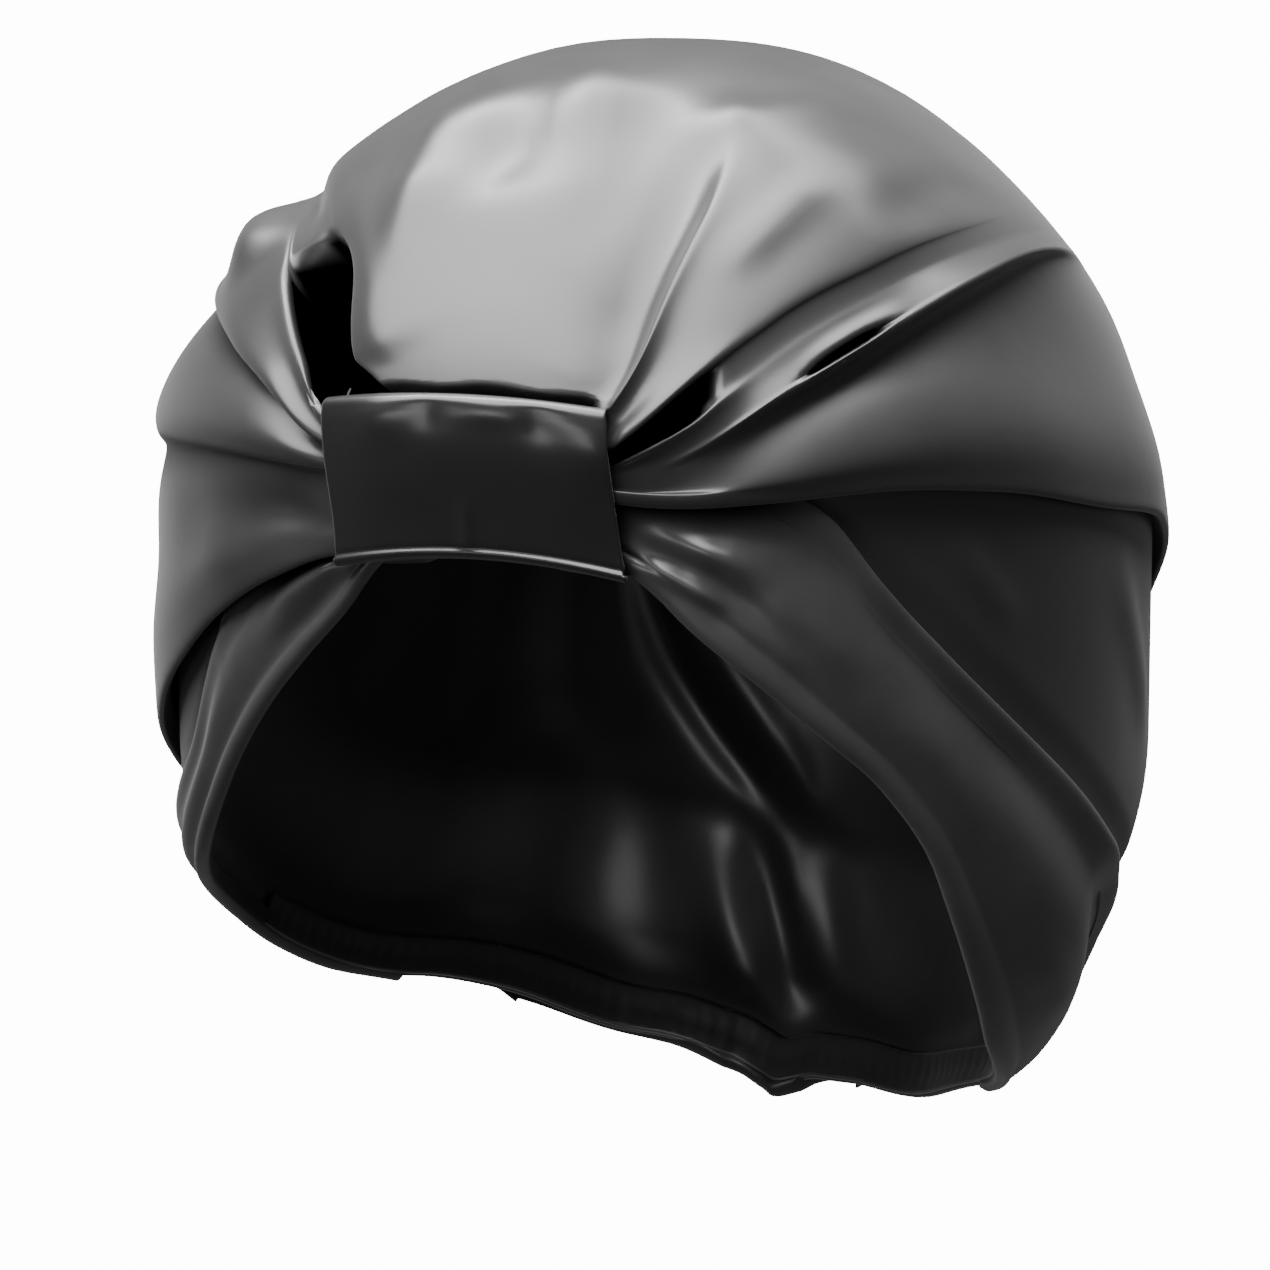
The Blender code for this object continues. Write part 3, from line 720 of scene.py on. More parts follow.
CROWN_OPENINGS = (
    Opening("tunnel_low", 1.4, 0, 12, 15, 21, 26),
    Opening("tunnel_wall", -6.6, -0.4, 11, 14, 20.5, 22.5),
    Opening("tunnel_floor", -7.4, 0, 11, 14, 21, 23),
    Opening("tunnel_under", -7.6, 1.6, 11, 14, 21, 23.2),
    Opening("crest_lip", 0.2, -0.3, 12, 15, 21, 25),
    Opening("crest_edge", 0.8, 0, 11, 14, 21, 27),
    Opening("eyelet_low", 1, 0, 29, 33, 36, 40),
    Opening("eyelet_under", -6, -0.6, 29.5, 33, 35.5, 37),
    Opening("eyelet_floor", -11, 0, 29.5, 33, 35.5, 37),
    Opening("eyelet_high", 1.6, -0.2, 29, 33.5, 36, 39),
    Opening("loop_crease", 0, 2.4, 17, 21, 28, 34),
    Opening("loop_brink", -0.4, -0.4, 4, 7, 23, 27),
    Opening("loop_wall_in", -10, -1.2, 4, 7, 24.6, 26.6),
    Opening("loop_floor_in", -12, -0.6, 4, 7, 25, 27),
    Opening("loop_floor", -12.5, 0, 4, 7, 25.8, 27.6),
    Opening("loop_floor_out", -12.5, 1.6, 4, 7, 26.4, 28),
    Opening("loop_wall_out", -11, 3.4, 4, 7, 26.4, 28),
    Opening("lobe_a_under", -5, 1.8, 4, 7, 26.4, 28),
    Opening("loop_wall_out", 0, 2.4, 4, 8, 14, 19),
    Opening("lobe_a_under", 0, 2.6, 4, 8, 14, 19),
    Opening("lobe_a_lip", 0.6, -0.4, 4, 7, 23.5, 27.5),
    Opening("lobe_a_lip", 0, 2.8, 4, 8, 14, 19),
    # These two sink the cloth under lobe A's edge and lobe B's upper part by 1.3 mm, which also paints them partly
    # dark with the folds' painted shade, standing for the shadow that lobe A casts on lobe B.
    Opening("second_fold_under", -1.3, 0, 12, 18, 36, 56),
    Opening("lobe_b_high", -1.3, 0, 14, 20, 40, 60),
)

CROWN_SWELLS = (
    Swell(24, 109, 1.5, 9.0),
    Swell(31, 103, 1.8, 10.0),
    Swell(26, 92, -1.8, 10.0),
    Swell(33, 86, 1.9, 11.0),
    Swell(31, 77, -1.2, 9.0),
    Swell(35, 68, 2.0, 10.0),
    Swell(17, 90, -1.4, 18.0),
    Swell(21, 183, -1.6, 9.0),
    Swell(33, 181, 1.4, 12.0),
    Swell(46, 62, -1.2, 16.0),
    Swell(52, 92, -2.6, 30.0),
    Swell(49, 122, -4.0, 26.0),
    Swell(51, 135, -5.0, 17.0),
    Swell(48, 108, -3.0, 17.0),
    Swell(66, 30, -1.6, 28.0),
    Swell(72, 62, -1.8, 28.0),
    Swell(82, 44, -3.0, 24.0),
    Swell(56, 62, -2.2, 28.0),
    Swell(58, 38, -3.2, 30.0),
)
CROWN_PULLS = (
    Pull(((27, 130), (32, 130), (37, 129), (44, 127), (52, 124)), -3.5, 4.5),
    Pull(((32, 141), (37, 137), (42, 133)), 3.2, 6.0),
    Pull(((16, 122), (22, 114), (29, 108), (36, 106)), 1.1, 4.5),
    Pull(((20, 100), (27, 96), (34, 94)), -1.2, 5.0),
    Pull(((24, 84), (31, 86), (40, 88)), 1.0, 5.0),
    Pull(((17, 70), (24, 72), (32, 76)), -0.8, 4.5),
    Pull(((24, 44), (31, 50), (39, 55)), 0.9, 4.0),
    Pull(((38, 46), (47, 52), (58, 57)), -1.2, 6.0),
    Pull(((30, 72), (40, 66), (52, 64)), 0.8, 5.0),
    Pull(((44, 74), (56, 72), (68, 68)), -0.7, 4.0),
)


@dataclass
class Crown:
    """The pleated crown, from behind the front band over the head to the nape hem, where it rolls in."""

    rows: int = 134
    row_bias: float = 1.9
    roll_rows: int = 14
    roll_radius: float = 0.0026
    roll_least: float = 0.15
    roll_reach: float = 0.0060
    roll_back_share: float = 0.6
    roll_taper: float = 1.8
    corner_rise: float = 2.1
    outline_half_length: float = 0.0252
    outline_middle: float = 0.021
    outline_top: float = 0.0374
    outline_bow: float = 0.0020
    outline_power: float = 9.0
    outline_fade: float = 8.0
    outline_search: tuple = (1.0, 30.0)
    outline_halvings: int = 24
    outline_rounds: int = 5
    fold_start: float = 3.0
    hem_fade: float = 9.0
    shallow_from: float = 12.0
    shallow_over: float = 7.0
    shallow_least: float = 0.22
    slit_ripple: float = 0.0003
    slit_ripple_pitch: float = 0.0032
    tuck_rise: float = 0.0021
    tuck_depth: float = 0.0075
    tuck_reach: float = 1.04
    tuck_fade: float = 0.08
    # Painted shade in the folds: none where the openings sink a line less than dark_from millimetres, full dark_over
    # millimetres deeper.
    dark_from: float = 0.8
    dark_over: float = 1.2

    def top_edge(self, across: Array) -> Array:
        """The height of the cloth's edge above the band: a shallow bow across."""
        return self.outline_top + self.outline_bow * (1 - across**2)

    def outline(self, psi: Array) -> Array:
        """tau at which the cloth goes in behind the band: where the form leaves a rounded rectangle under its face.

        Args:
            psi: degrees around.

        Returns:
            tau at each psi.
        """

        def covered(tau: Array) -> Array:
            """Whether the band's face covers the form at a tau."""
            p = FORM.point(tau, psi)
            across = np.abs(p[..., 0]) / self.outline_half_length
            up = np.maximum(p[..., 2] - self.outline_middle, 0) / (self.top_edge(across) - self.outline_middle)
            return across**self.outline_power + up**self.outline_power < 1

        low, high = (np.full(psi.shape, tau) for tau in self.outline_search)
        return halved(covered, low, high, self.outline_halvings)

    def from_corner(self, at: Array) -> Array:
        """How far each place among the fold lines is from the crown's side edges, 0 on them and 1 well inside."""
        return smooth(np.minimum(at, len(CROWN_LINES) - 1 - at) / self.roll_taper)

    def ends(self, at: Array) -> tuple[Array, Array]:
        """tau at the band and at the nape hem, for each place among the fold lines.

        Args:
            at: places among the fold lines.

        Returns:
            tau at the band, and tau at the nape hem.
        """
        start = np.full(at.shape, float(LINE_TAUS[0]))
        for _ in range(self.outline_rounds):
            start = self.outline(line_psi(at, start))
        rise = self.corner_rise * (1 - self.from_corner(at))
        return start, nape_hem(line_psi(at, np.full(at.shape, float(LINE_TAUS[-1])))) - rise

    def controls(self, u: Array) -> tuple[Array, Array, Array, Array, Array]:
        """The course of every control line, with the folds' heights and the openings in it.

        Args:
            u: the rows' shares, from the band (0) to the nape hem (1).

        Returns:
            Five arrays of rows by control lines: tau, psi, the lift off the form, the tau at which the line goes
            in behind the band, and how far the openings sink it, in millimetres.
        """
        at = np.array([line.at for line in CROWN_PROFILE])
        start, end = self.ends(at)
        tau = start + (end - start) * (u[:, None] ** self.row_bias)
        psi = line_psi(np.broadcast_to(at, tau.shape), tau)
        around = FORM.around(tau, psi)
        lift = np.full(tau.shape, CROWN_LIFT)
        near = smooth((tau - start) / self.fold_start)
        hem = smooth((end - tau) / self.hem_fade)
        column = {line.name: number for number, line in enumerate(CROWN_PROFILE)}
        for number, line in enumerate(CROWN_PROFILE):
            stands = strength(line, tau[:, number]) * hem[:, number]
            rise = line.height * (near[:, number] if line.height > 0 else 1.0)
            lift[:, number] += rise * MM * stands
            psi[:, number] += np.degrees(line.sideways * MM * stands / around[:, number])
        sunk = np.zeros(tau.shape)
        for hole in CROWN_OPENINGS:
            number = column[hole.line]
            stands = strength(hole, tau[:, number])
            deep = smooth((tau[:, number] - self.shallow_from) / self.shallow_over)
            deep = self.shallow_least + (1 - self.shallow_least) * deep
            lift[:, number] += hole.height * MM * stands * deep
            psi[:, number] += np.degrees(hole.sideways * MM * stands / around[:, number])
            sunk[:, number] += max(-hole.height, 0.0) * stands
        return tau, psi, lift, np.broadcast_to(start, tau.shape), sunk

    def tucked(self, p: Array, psi: Array) -> Array:
        """How far each place is rolled down into the slit above the band: 1 under the slit's rippled edge, across
        the band and at the front alone.

        Args:
            p: points of the form.
            psi: their degrees around.

        Returns:
            The share by which each place is tucked in.
        """
        across = np.abs(p[..., 0]) / self.outline_half_length
        slit = self.top_edge(across) + self.slit_ripple * np.sin(p[..., 0] / self.slit_ripple_pitch)
        under = smooth((slit + self.tuck_rise - p[..., 2]) / self.tuck_rise)
        return under * smooth((self.tuck_reach - across) / self.tuck_fade) * (psi > 0) * (psi < 180) * (p[..., 1] < 0)

    def nape_roll(self, at: Array, tau: Array, psi: Array, lift: Array) -> Array:
        """The half turn around the other layers at the nape hem, and the way back inside, tapered at the corners.

        Args:
            at: each column's place among the fold lines.
            tau: each column's tau at the hem.
            psi: each column's psi at the hem.
            lift: each column's lift at the hem.

        Returns:
            The roll's places, its rows by the columns by 3.
        """
        radius = self.roll_radius * (self.roll_least + (1 - self.roll_least) * self.from_corner(at))
        course = np.linspace(0, 1 + self.roll_back_share, self.roll_rows)[1:, None]
        turn = np.minimum(course, 1.0) * math.pi
        back = np.maximum(course - 1.0, 0.0) / self.roll_back_share * self.roll_reach
        metres = np.linalg.norm(FORM.point(tau, psi) - FORM.eye, axis=-1)
        roll_tau = tau + np.degrees((radius * np.sin(turn) - back) / metres)
        return FORM.placed(roll_tau, np.broadcast_to(psi, roll_tau.shape), lift - radius * (1 - np.cos(turn)))

    def places(self) -> tuple[Array, Array]:
        """The outer face: the control lines carried across by the spline, with the relief added, the tuck above
        the band and the roll at the nape.

        Returns:
            The places, and the painted shade of each: dark deep in a fold and full where the cloth tucks into the
            slit above the band.
        """
        weights = spline_weights([line.columns for line in CROWN_PROFILE[:-1]])
        tau, psi, lift, start, sunk = (part @ weights.T for part in self.controls(np.linspace(0, 1, self.rows)))
        moved = self.outline(psi[0]) - tau[0]
        tau = tau + moved * smooth(1 - (tau - start) / self.outline_fade)
        p = FORM.point(tau, psi)
        tucked = self.tucked(p, psi)
        lift = lift + relief(p, CROWN_SWELLS, CROWN_PULLS) - self.tuck_depth * tucked
        # Painted shade: dark deep in the openings' folds and full where the cloth tucks into the slit above the band.
        painted_shade = np.maximum(smooth((sunk - self.dark_from) / self.dark_over), tucked)
        at = weights @ np.array([line.at for line in CROWN_PROFILE])
        roll = self.nape_roll(at, tau[-1], psi[-1], lift[-1])
        return np.vstack([FORM.lifted(p, lift), roll]), np.vstack([painted_shade, np.zeros(roll.shape[:2])])

    def build(self) -> None:
        """Makes the crown and reports it."""
        Panel("crown_cloth", Finish.CROWN, "crown").build(*self.places())


BROW_COLUMNS = ("hem_tau", "hem_psi", "top_tau", "top_psi")
LEFT_BROW = (
    (12.5, -23, 12.5, 6),
    (19, -20, 19, 8),
    (27.6, -19.9, 26, 11.5),
    (37.8, -17.8, 34, 8.8),
    (47.9, -16.2, 43, 3.8),
    (55.8, -15.2, 53, 2.2),
    (66.2, -16, 64.5, 2.3),
    (76, -18, 77, 3.4),
    (86, -19.2, 89, 5.0),
    (96, -19.6, 101, 8.0),
    (106, -19.2, 112, 9.5),
    (116, -17, 122, 7.5),
    (126, -13.5, 131, 2.5),
    (136, -9.5, 138.5, -4),
)
RIGHT_BROW = (
    (12.5, 209, 12.5, 197),
    (16, 208.5, 17, 192),
    (22, 209.5, 23, 188.5),
    (30, 207.5, 31, 186.8),
    (39, 205.8, 39, 188.2),
    (49, 205.2, 47, 192.6),
    (59, 205.2, 56, 196),
    (69, 203.5, 66, 195),
    (79, 200, 77, 191.5),
    (89, 195.5, 89, 186.5),
    (99, 192, 101, 182.5),
    (110, 189.5, 112, 179.5),
    (121, 186, 122, 177.5),
    (132, 179.5, 131, 176),
)


def brow_edge(table: tuple, name: str, u: Array) -> Array:
    """A named column of a brow wrap's table at a share of the wrap's length."""
    column = np.array(table, float).T[BROW_COLUMNS.index(name)]
    return through(u * (len(table) - 1), np.arange(len(table), dtype=float), column)


def brow_top(table: tuple, tau: Array) -> Array:
    """psi of a brow wrap's upper edge at each tau."""
    columns = np.array(table, float).T
    return through(tau, columns[BROW_COLUMNS.index("top_tau")], columns[BROW_COLUMNS.index("top_psi")])


@dataclass(frozen=True)
class Strip:
    """A control line of a brow wrap: its share across from the hem, height and sideways in millimetres, and the
    shares of the wrap's length between which it stands."""

    across: float
    height: float
    sideways: float
    start: float
    full: float
    fade: float
    end: float
    columns: int = 6


WHOLE = (-1.0, -0.5, 1.5, 2.0)

# The turned-in edges of a brow wrap on the wearer's left: across, height and sideways of each control line.
HEM_TURN = ((0.00, -3.6, 5.0), (0.00, -3.4, 1.5), (0.00, -2.4, -1.0), (0.00, -0.6, -1.4), (0.01, 0.7, -0.6))
TOP_TURN = ((1.00, -0.3, 0.6), (1.00, -0.9, -2.0), (1.00, -1.0, -6.0))


def turned(rows: tuple, sense: float) -> tuple:
    """The strips of a turned-in edge, mirrored where sense is -1."""
    return tuple(Strip(across, height, sense * sideways, *WHOLE, 4) for across, height, sideways in rows)


LEFT_STRIPS = (
    *turned(HEM_TURN, 1.0),
    Strip(0.05, 1.0, 0.0, *WHOLE, 5),
    Strip(0.11, 0.5, 0.0, *WHOLE, 4),
    Strip(0.14, 0.1, 0.0, *WHOLE, 4),
    Strip(0.18, 0.8, 0.0, *WHOLE, 6),
    Strip(0.32, 2.4, 0.0, 0.05, 0.20, 0.80, 1.10, 8),
    Strip(0.52, 3.2, 0.0, 0.05, 0.25, 0.80, 1.10, 8),
    Strip(0.70, 1.2, 0.0, 0.05, 0.25, 0.80, 1.05, 8),
    Strip(0.82, -0.6, 0.0, 0.10, 0.30, 0.70, 1.00, 6),
    Strip(0.90, 0.6, 0.0, 0.10, 0.30, 0.80, 1.05, 5),
    Strip(0.96, 1.6, 0.0, 0.10, 0.30, 0.80, 1.05, 5),
    Strip(1.00, 1.2, 0.4, *WHOLE, 4),
    *turned(TOP_TURN, 1.0),
)
RIGHT_STRIPS = (
    *turned(HEM_TURN, -1.0),
    Strip(0.07, 0.9, 0.0, *WHOLE, 5),
    Strip(0.14, -0.1, 0.0, *WHOLE, 5),
    Strip(0.22, 0.8, 0.0, *WHOLE, 6),
    Strip(0.42, 2.6, 0.0, 0.05, 0.20, 0.70, 0.95, 8),
    Strip(0.62, 0.4, 0.0, 0.05, 0.20, 0.70, 0.95, 7),
    Strip(0.84, 2.0, 0.0, 0.10, 0.25, 0.80, 0.98, 7),
    Strip(0.98, 1.1, -0.4, *WHOLE, 5),
    *turned(TOP_TURN, -1.0),
)
LEFT_BROW_PULLS = (
    Pull(((18, -17), (24, -15), (30, -13)), 1.4, 1.8),
    Pull(((17, -9), (25, -6), (33, -3)), 1.3, 2.6),
    Pull(((19, -13), (27, -10), (34, -9)), -0.9, 2.2),
    Pull(((22, -2), (28, 1), (35, 3)), -0.8, 2.6),
    Pull(((30, -8), (38, -7), (46, -8)), 0.8, 4.0),
    Pull(((46, -9), (58, -9), (72, -11)), 1.1, 4.5),
    Pull(((88, -12), (100, -10), (114, -8)), 1.2, 5.0),
    Pull(((92, 2), (104, 4), (116, 5), (128, 3)), -2.4, 12.0),
    Pull(((19, -14), (25, -13), (31, -13)), 1.1, 2.6),
    Pull(((22, -6), (27, -6), (32, -8)), 1.0, 2.8),
    Pull(((25, -10), (31, -10), (37, -11)), -0.8, 2.6),
    Pull(((29, -14), (35, -13), (42, -13)), 0.8, 3.0),
)
RIGHT_BROW_PULLS = (
    Pull(((17, 201), (24, 199), (32, 197)), 1.4, 2.2),
    Pull(((18, 205), (26, 204), (35, 202)), -0.9, 1.8),
    Pull(((30, 194), (42, 196), (54, 200)), 0.9, 3.0),
)


@dataclass
class BrowWrap:
    """A strip that runs from behind the band along the hem to the nape corner."""

    name: str
    table: tuple
    strips: tuple
    edge: float
    sense: float
    pulls: tuple
    rows: int = 200
    underlap: float = 4.0
    # Painted shadow below the crown's edge: how far it reaches out from under the edge, in underlaps, and the stretch
    # of tau near the band where it stands.
    dark_reach: float = 1.7
    dark_stretch: tuple = (4.0, 8.0, 26.0, 38.0)

    def beyond(self, tau: Array, psi: Array) -> Array:
        """How far a place lies past the crown's edge, in underlaps."""
        return (psi - line_psi(np.full(tau.shape, self.edge), tau)) * self.sense / self.underlap

    def places(self) -> tuple[Array, Array]:
        """The outer face: the strips' control lines between the hem and the upper edge, carried across by the
        spline, and flattened where the crown covers them.

        Returns:
            The places, and the painted shadow that the crown's edge casts on each, near the band.
        """
        u = np.linspace(0, 1, self.rows)[:, None]
        across = np.array([strip.across for strip in self.strips])[None]
        hem_tau, hem_psi, top_tau, top_psi = (brow_edge(self.table, name, u) for name in BROW_COLUMNS)
        tau = hem_tau + (top_tau - hem_tau) * across
        psi = hem_psi + (top_psi - hem_psi) * across
        around = FORM.around(tau, psi)
        rise = np.zeros(tau.shape)
        for number, strip in enumerate(self.strips):
            stands = strength(strip, u[:, 0])
            rise[:, number] = strip.height * MM * stands
            psi[:, number] += np.degrees(strip.sideways * MM * stands / around[:, number])
        covered = smooth(self.beyond(tau, psi) + 1.0)
        lift = BROW_LIFT + np.where(rise > 0, rise * (1 - covered), rise)
        weights = spline_weights([strip.columns for strip in self.strips[:-1]])
        tau, psi, lift, covered = (part @ weights.T for part in (tau, psi, lift, covered))
        # Painted shadow along the crown's overlapping edge: full under it, fading out over dark_reach underlaps, near
        # the band only.
        painted_shade = smooth((self.beyond(tau, psi) + self.dark_reach) / self.dark_reach)
        lift = lift + relief(FORM.point(tau, psi), (), self.pulls) * (1 - covered)
        return FORM.placed(tau, psi, lift), painted_shade * envelope(tau, *self.dark_stretch)

    def build(self) -> None:
        """Makes the wrap and reports it."""
        Panel(self.name + "_cloth", Finish.BROW, self.name).build(*self.places())


LEFT_SIDE_PULLS = (
    Pull(((46, 14), (54, 12), (62, 11)), 0.9, 4.0),
    Pull(((70, 26), (84, 24), (98, 22)), 1.1, 6.0),
    Pull(((104, 14), (116, 16), (130, 14)), -2.0, 12.0),
)


@dataclass
class SideWrap:
    """The plain panel over the ear, from under the brow wrap's upper edge to under the crown's edge."""

    name: str
    table: tuple
    edge: float
    sense: float
    rows: int = 120
    columns: int = 70
    start: float = 30.0
    share: float = 0.96
    underlap: float = 4.0
    first_end: float = 140.0
    end_rounds: int = 14
    swell: float = 0.0008
    swell_from: float = 0.4
    pulls: tuple = ()

    def course(self, tau: Array, w: Array) -> Array:
        """psi between the two hidden edges at each tau, by the share of the way up.

        Args:
            tau: degrees from the band.
            w: the share of the way from the lower edge to the upper.

        Returns:
            psi of each place.
        """
        low = brow_top(self.table, tau) - self.sense * self.underlap
        high = line_psi(np.full(tau.shape, self.edge), tau) + self.sense * self.underlap
        return low + (high - low) * w

    def places(self) -> Array:
        """The outer face: straight across in psi between the two hidden edges, with soft swells added.

        Returns:
            The places.
        """
        u, w = grid(self.rows, self.columns)
        end = np.full(u.shape, self.first_end)
        for _ in range(self.end_rounds):
            end = (end + nape_hem(self.course(end, w))) / 2
        tau = self.start + (end - self.start) * self.share * u
        psi = self.course(tau, w)
        clear = (psi - brow_top(self.table, tau)) * self.sense / self.underlap
        lift = SIDE_LIFT + self.swell * smooth(clear - self.swell_from)
        return FORM.placed(tau, psi, lift + relief(FORM.point(tau, psi), (), self.pulls) * smooth(clear))

    def build(self) -> None:
        """Makes the panel and reports it."""
        Panel(self.name + "_cloth", Finish.SIDE, self.name).build(self.places())


@dataclass
class Cap:
    """What the lining and the nape casing share: the hem's course and the faces that run inward from it."""

    arc: float = 0.19
    hollow: float = 0.0145
    hem_flat: float = 0.016
    hem_rise: float = 0.045
    casing_from: float = 0.27
    casing_to: float = 0.68
    casing_width: float = 0.011
    stations: int = 28
    nape_inset: float = 3.0
    under_band: tuple = ((7.4, 240.0), (6.5, 270.0), (7.4, 300.0))

    def hem(self, share: Array) -> Array:
        """Directions from the middle of the form to the whole hem, by the share of its length.

        Args:
            share: shares of the hem's length, from the band round over the wearer's left.

        Returns:
            The directions.
        """
        left = [row[:2] for row in LEFT_BROW]
        ends = LEFT_BROW[-1][1] + self.nape_inset, RIGHT_BROW[-1][1] - self.nape_inset
        nape = [(float(nape_hem(psi)), float(psi)) for psi in np.linspace(*ends, self.stations)]
        right = [row[:2] for row in reversed(RIGHT_BROW)]
        front = list(self.under_band)
        taus, psis = np.array(left + nape + right + front + left[:1], float).T
        points = FORM.point(taus, psis) - FORM.eye
        reach = np.concatenate([[0], np.cumsum(np.linalg.norm(np.diff(points, axis=0), axis=1))])
        p = np.stack([through(share * reach[-1], reach, points[:, i]) for i in range(3)], -1)
        return p / np.linalg.norm(p, axis=-1, keepdims=True)

    def wall(self, share: Array, w: Array, lift: Array) -> Array:
        """A face inside: rays turned from the hem's direction (w = 0) to the cap's pole (w = 1).

        Args:
            share: shares of the hem's length.
            w: the share of the way up.
            lift: the lift off the form.

        Returns:
            The places.
        """
        turn = w[..., None] * math.pi / 2
        ray = self.hem(share) * np.cos(turn) + FORM.over * np.sin(turn)
        ray /= np.linalg.norm(ray, axis=-1, keepdims=True)
        return FORM.lifted(FORM.along_ray(FORM.eye, ray), lift)


# The lining's soft folds: the share of the hem that each starts from, its height in millimetres (below zero for
# a valley seen from inside), its half width as a share, the shares of the way up between which it stands, and how
# far it leans.
LINING_FOLDS = (
    (0.438, 5.0, 0.0110, 0.065, 0.13, 0.18, 0.36, 0.15),
    (0.466, -3.4, 0.0110, 0.065, 0.13, 0.15, 0.30, 0.13),
    (0.410, -1.6, 0.0140, 0.065, 0.13, 0.20, 0.40, 0.16),
    (0.505, 2.4, 0.0160, 0.065, 0.13, 0.18, 0.34, 0.10),
    (0.540, -1.8, 0.0180, 0.065, 0.13, 0.18, 0.40, 0.06),
    (0.575, 2.0, 0.0180, 0.065, 0.13, 0.20, 0.44, 0.02),
    (0.620, -1.6, 0.0180, 0.065, 0.13, 0.20, 0.44, -0.04),
    (0.330, 2.2, 0.0160, 0.02, 0.10, 0.24, 0.50, 0.10),
    (0.355, 3.4, 0.0120, 0.28, 0.40, 0.56, 0.74, 0.37),
    (0.320, -2.2, 0.0160, 0.28, 0.40, 0.60, 0.80, 0.37),
    (0.500, 2.4, 0.0220, 0.30, 0.44, 0.60, 0.84, 0.20),
    (0.600, -1.8, 0.0220, 0.26, 0.40, 0.64, 0.90, 0.10),
    (0.120, 2.0, 0.0140, 0.10, 0.24, 0.50, 0.80, 0.02),
    (0.200, 1.6, 0.0160, 0.10, 0.24, 0.50, 0.80, 0.02),
    (0.820, 1.8, 0.0160, 0.10, 0.24, 0.50, 0.80, 0.00),
    (0.930, 2.0, 0.0100, 0.06, 0.16, 0.36, 0.60, 0.02),
    (0.965, 2.4, 0.0100, 0.06, 0.16, 0.40, 0.66, 0.02),
)


@dataclass
class Lining(Cap):
    """The inside cap, with the soft folds that its fullness makes."""

    columns: int = 320
    rows: int = 110
    row_bias: float = 1.2
    hem_lift: float = -0.0017
    hem_close: float = 0.004
    hem_close_over: float = 0.010
    wall_thickness: float = 0.0008

    def places(self) -> Array:
        """The outer face of the lining: it meets the panels at the hem and falls away into the hollow.

        Returns:
            The places.
        """
        w, share = grid(self.rows, self.columns)
        w = w**self.row_bias
        from_hem = w * self.arc
        depth = smooth((from_hem - self.hem_flat) / self.hem_rise)
        closed = smooth((from_hem - self.hem_close) / self.hem_close_over)
        lift = self.hem_lift + (LINING_LIFT - self.hem_lift) * closed - self.hollow * depth
        for place, height, width, start, full, fade, end, lean in LINING_FOLDS:
            across = (share - place - lean * w) / width
            lift = lift - height * MM * np.exp(-across * across) * envelope(w, start, full, fade, end)
        return self.wall(share, w, lift)

    def build(self) -> None:
        """Makes the lining and reports it."""
        Panel("lining_cloth", Finish.LINING, "lining", self.wall_thickness).build(self.places())


@dataclass
class NapeCasing(Cap):
    """The sewn channel that holds the nape's elastic."""

    columns: int = 260
    rows: int = 14
    pucker_height: float = 0.00012
    puckers: int = 64
    pucker_drift: float = 1.2
    drifts: int = 9
    end_share: float = 0.03
    base_lift: float = -0.0028
    inner_lift: float = LINING_LIFT + 0.0017
    inner_from: float = 0.004
    inner_over: float = 0.010
    swell: float = 0.0007

    def places(self) -> Array:
        """The casing's outer face: a crowned strip along the hem, with the fine puckers of its stitching.

        Returns:
            The places.
        """
        w, u = grid(self.rows, self.columns)
        share = self.casing_from + (self.casing_to - self.casing_from) * u
        bow = np.sin(math.pi * w)
        drift = self.pucker_drift * np.sin(2 * math.pi * self.drifts * u)
        pucker = self.pucker_height * np.sin(2 * math.pi * self.puckers * u + drift) * bow
        ends = smooth(u / self.end_share) * smooth((1 - u) / self.end_share)
        from_hem = w * self.casing_width
        lift = self.base_lift + self.inner_lift * smooth((from_hem - self.inner_from) / self.inner_over)
        return self.wall(share, from_hem / self.arc, lift - (self.swell * bow - pucker) * ends)

    def build(self) -> None:
        """Makes the casing and reports it."""
        Panel("nape_casing_cloth", Finish.LINING, "nape_casing").build(self.places())


# The band's section, from its return in the slit above to the one inside: height and stand as shares of its own,
# and how far it runs inward.
BAND_PROFILE = (
    (0.97, 0.00, 0.55),
    (1.02, 0.00, 0.20),
    (1.04, 0.50, 0.00),
    (1.00, 0.95, 0.00),
    (0.92, 1.02, 0.00),
    (0.80, 0.96, 0.00),
    (0.60, 0.90, 0.00),
    (0.40, 0.84, 0.00),
    (0.20, 0.80, 0.00),
    (0.10, 0.76, 0.00),
    (0.06, 0.70, 0.00),
    (0.02, 0.80, 0.00),
    (-0.015, 0.66, 0.00),
    (-0.03, 0.30, 0.00),
    (-0.02, 0.00, 0.30),
    (0.03, 0.00, 0.80),
    (0.08, 0.00, 1.02),
    (0.16, 0.00, 1.04),
)

# The band's soft swells: place along it, height, half width and half height as shares of its own, and how far
# each stands out in millimetres.
BAND_SWELLS = (
    (0.22, 0.84, 0.10, 0.13, 0.9),
    (0.40, 0.90, 0.06, 0.10, -0.5),
    (0.62, 0.92, 0.09, 0.09, 0.5),
    (0.97, 0.74, 0.10, 0.16, 1.6),
    (0.78, 0.88, 0.06, 0.10, -0.6),
    (0.50, 0.40, 0.22, 0.30, -0.5),
    (0.14, 0.35, 0.14, 0.26, 0.5),
    (0.84, 0.30, 0.14, 0.30, 0.5),
)


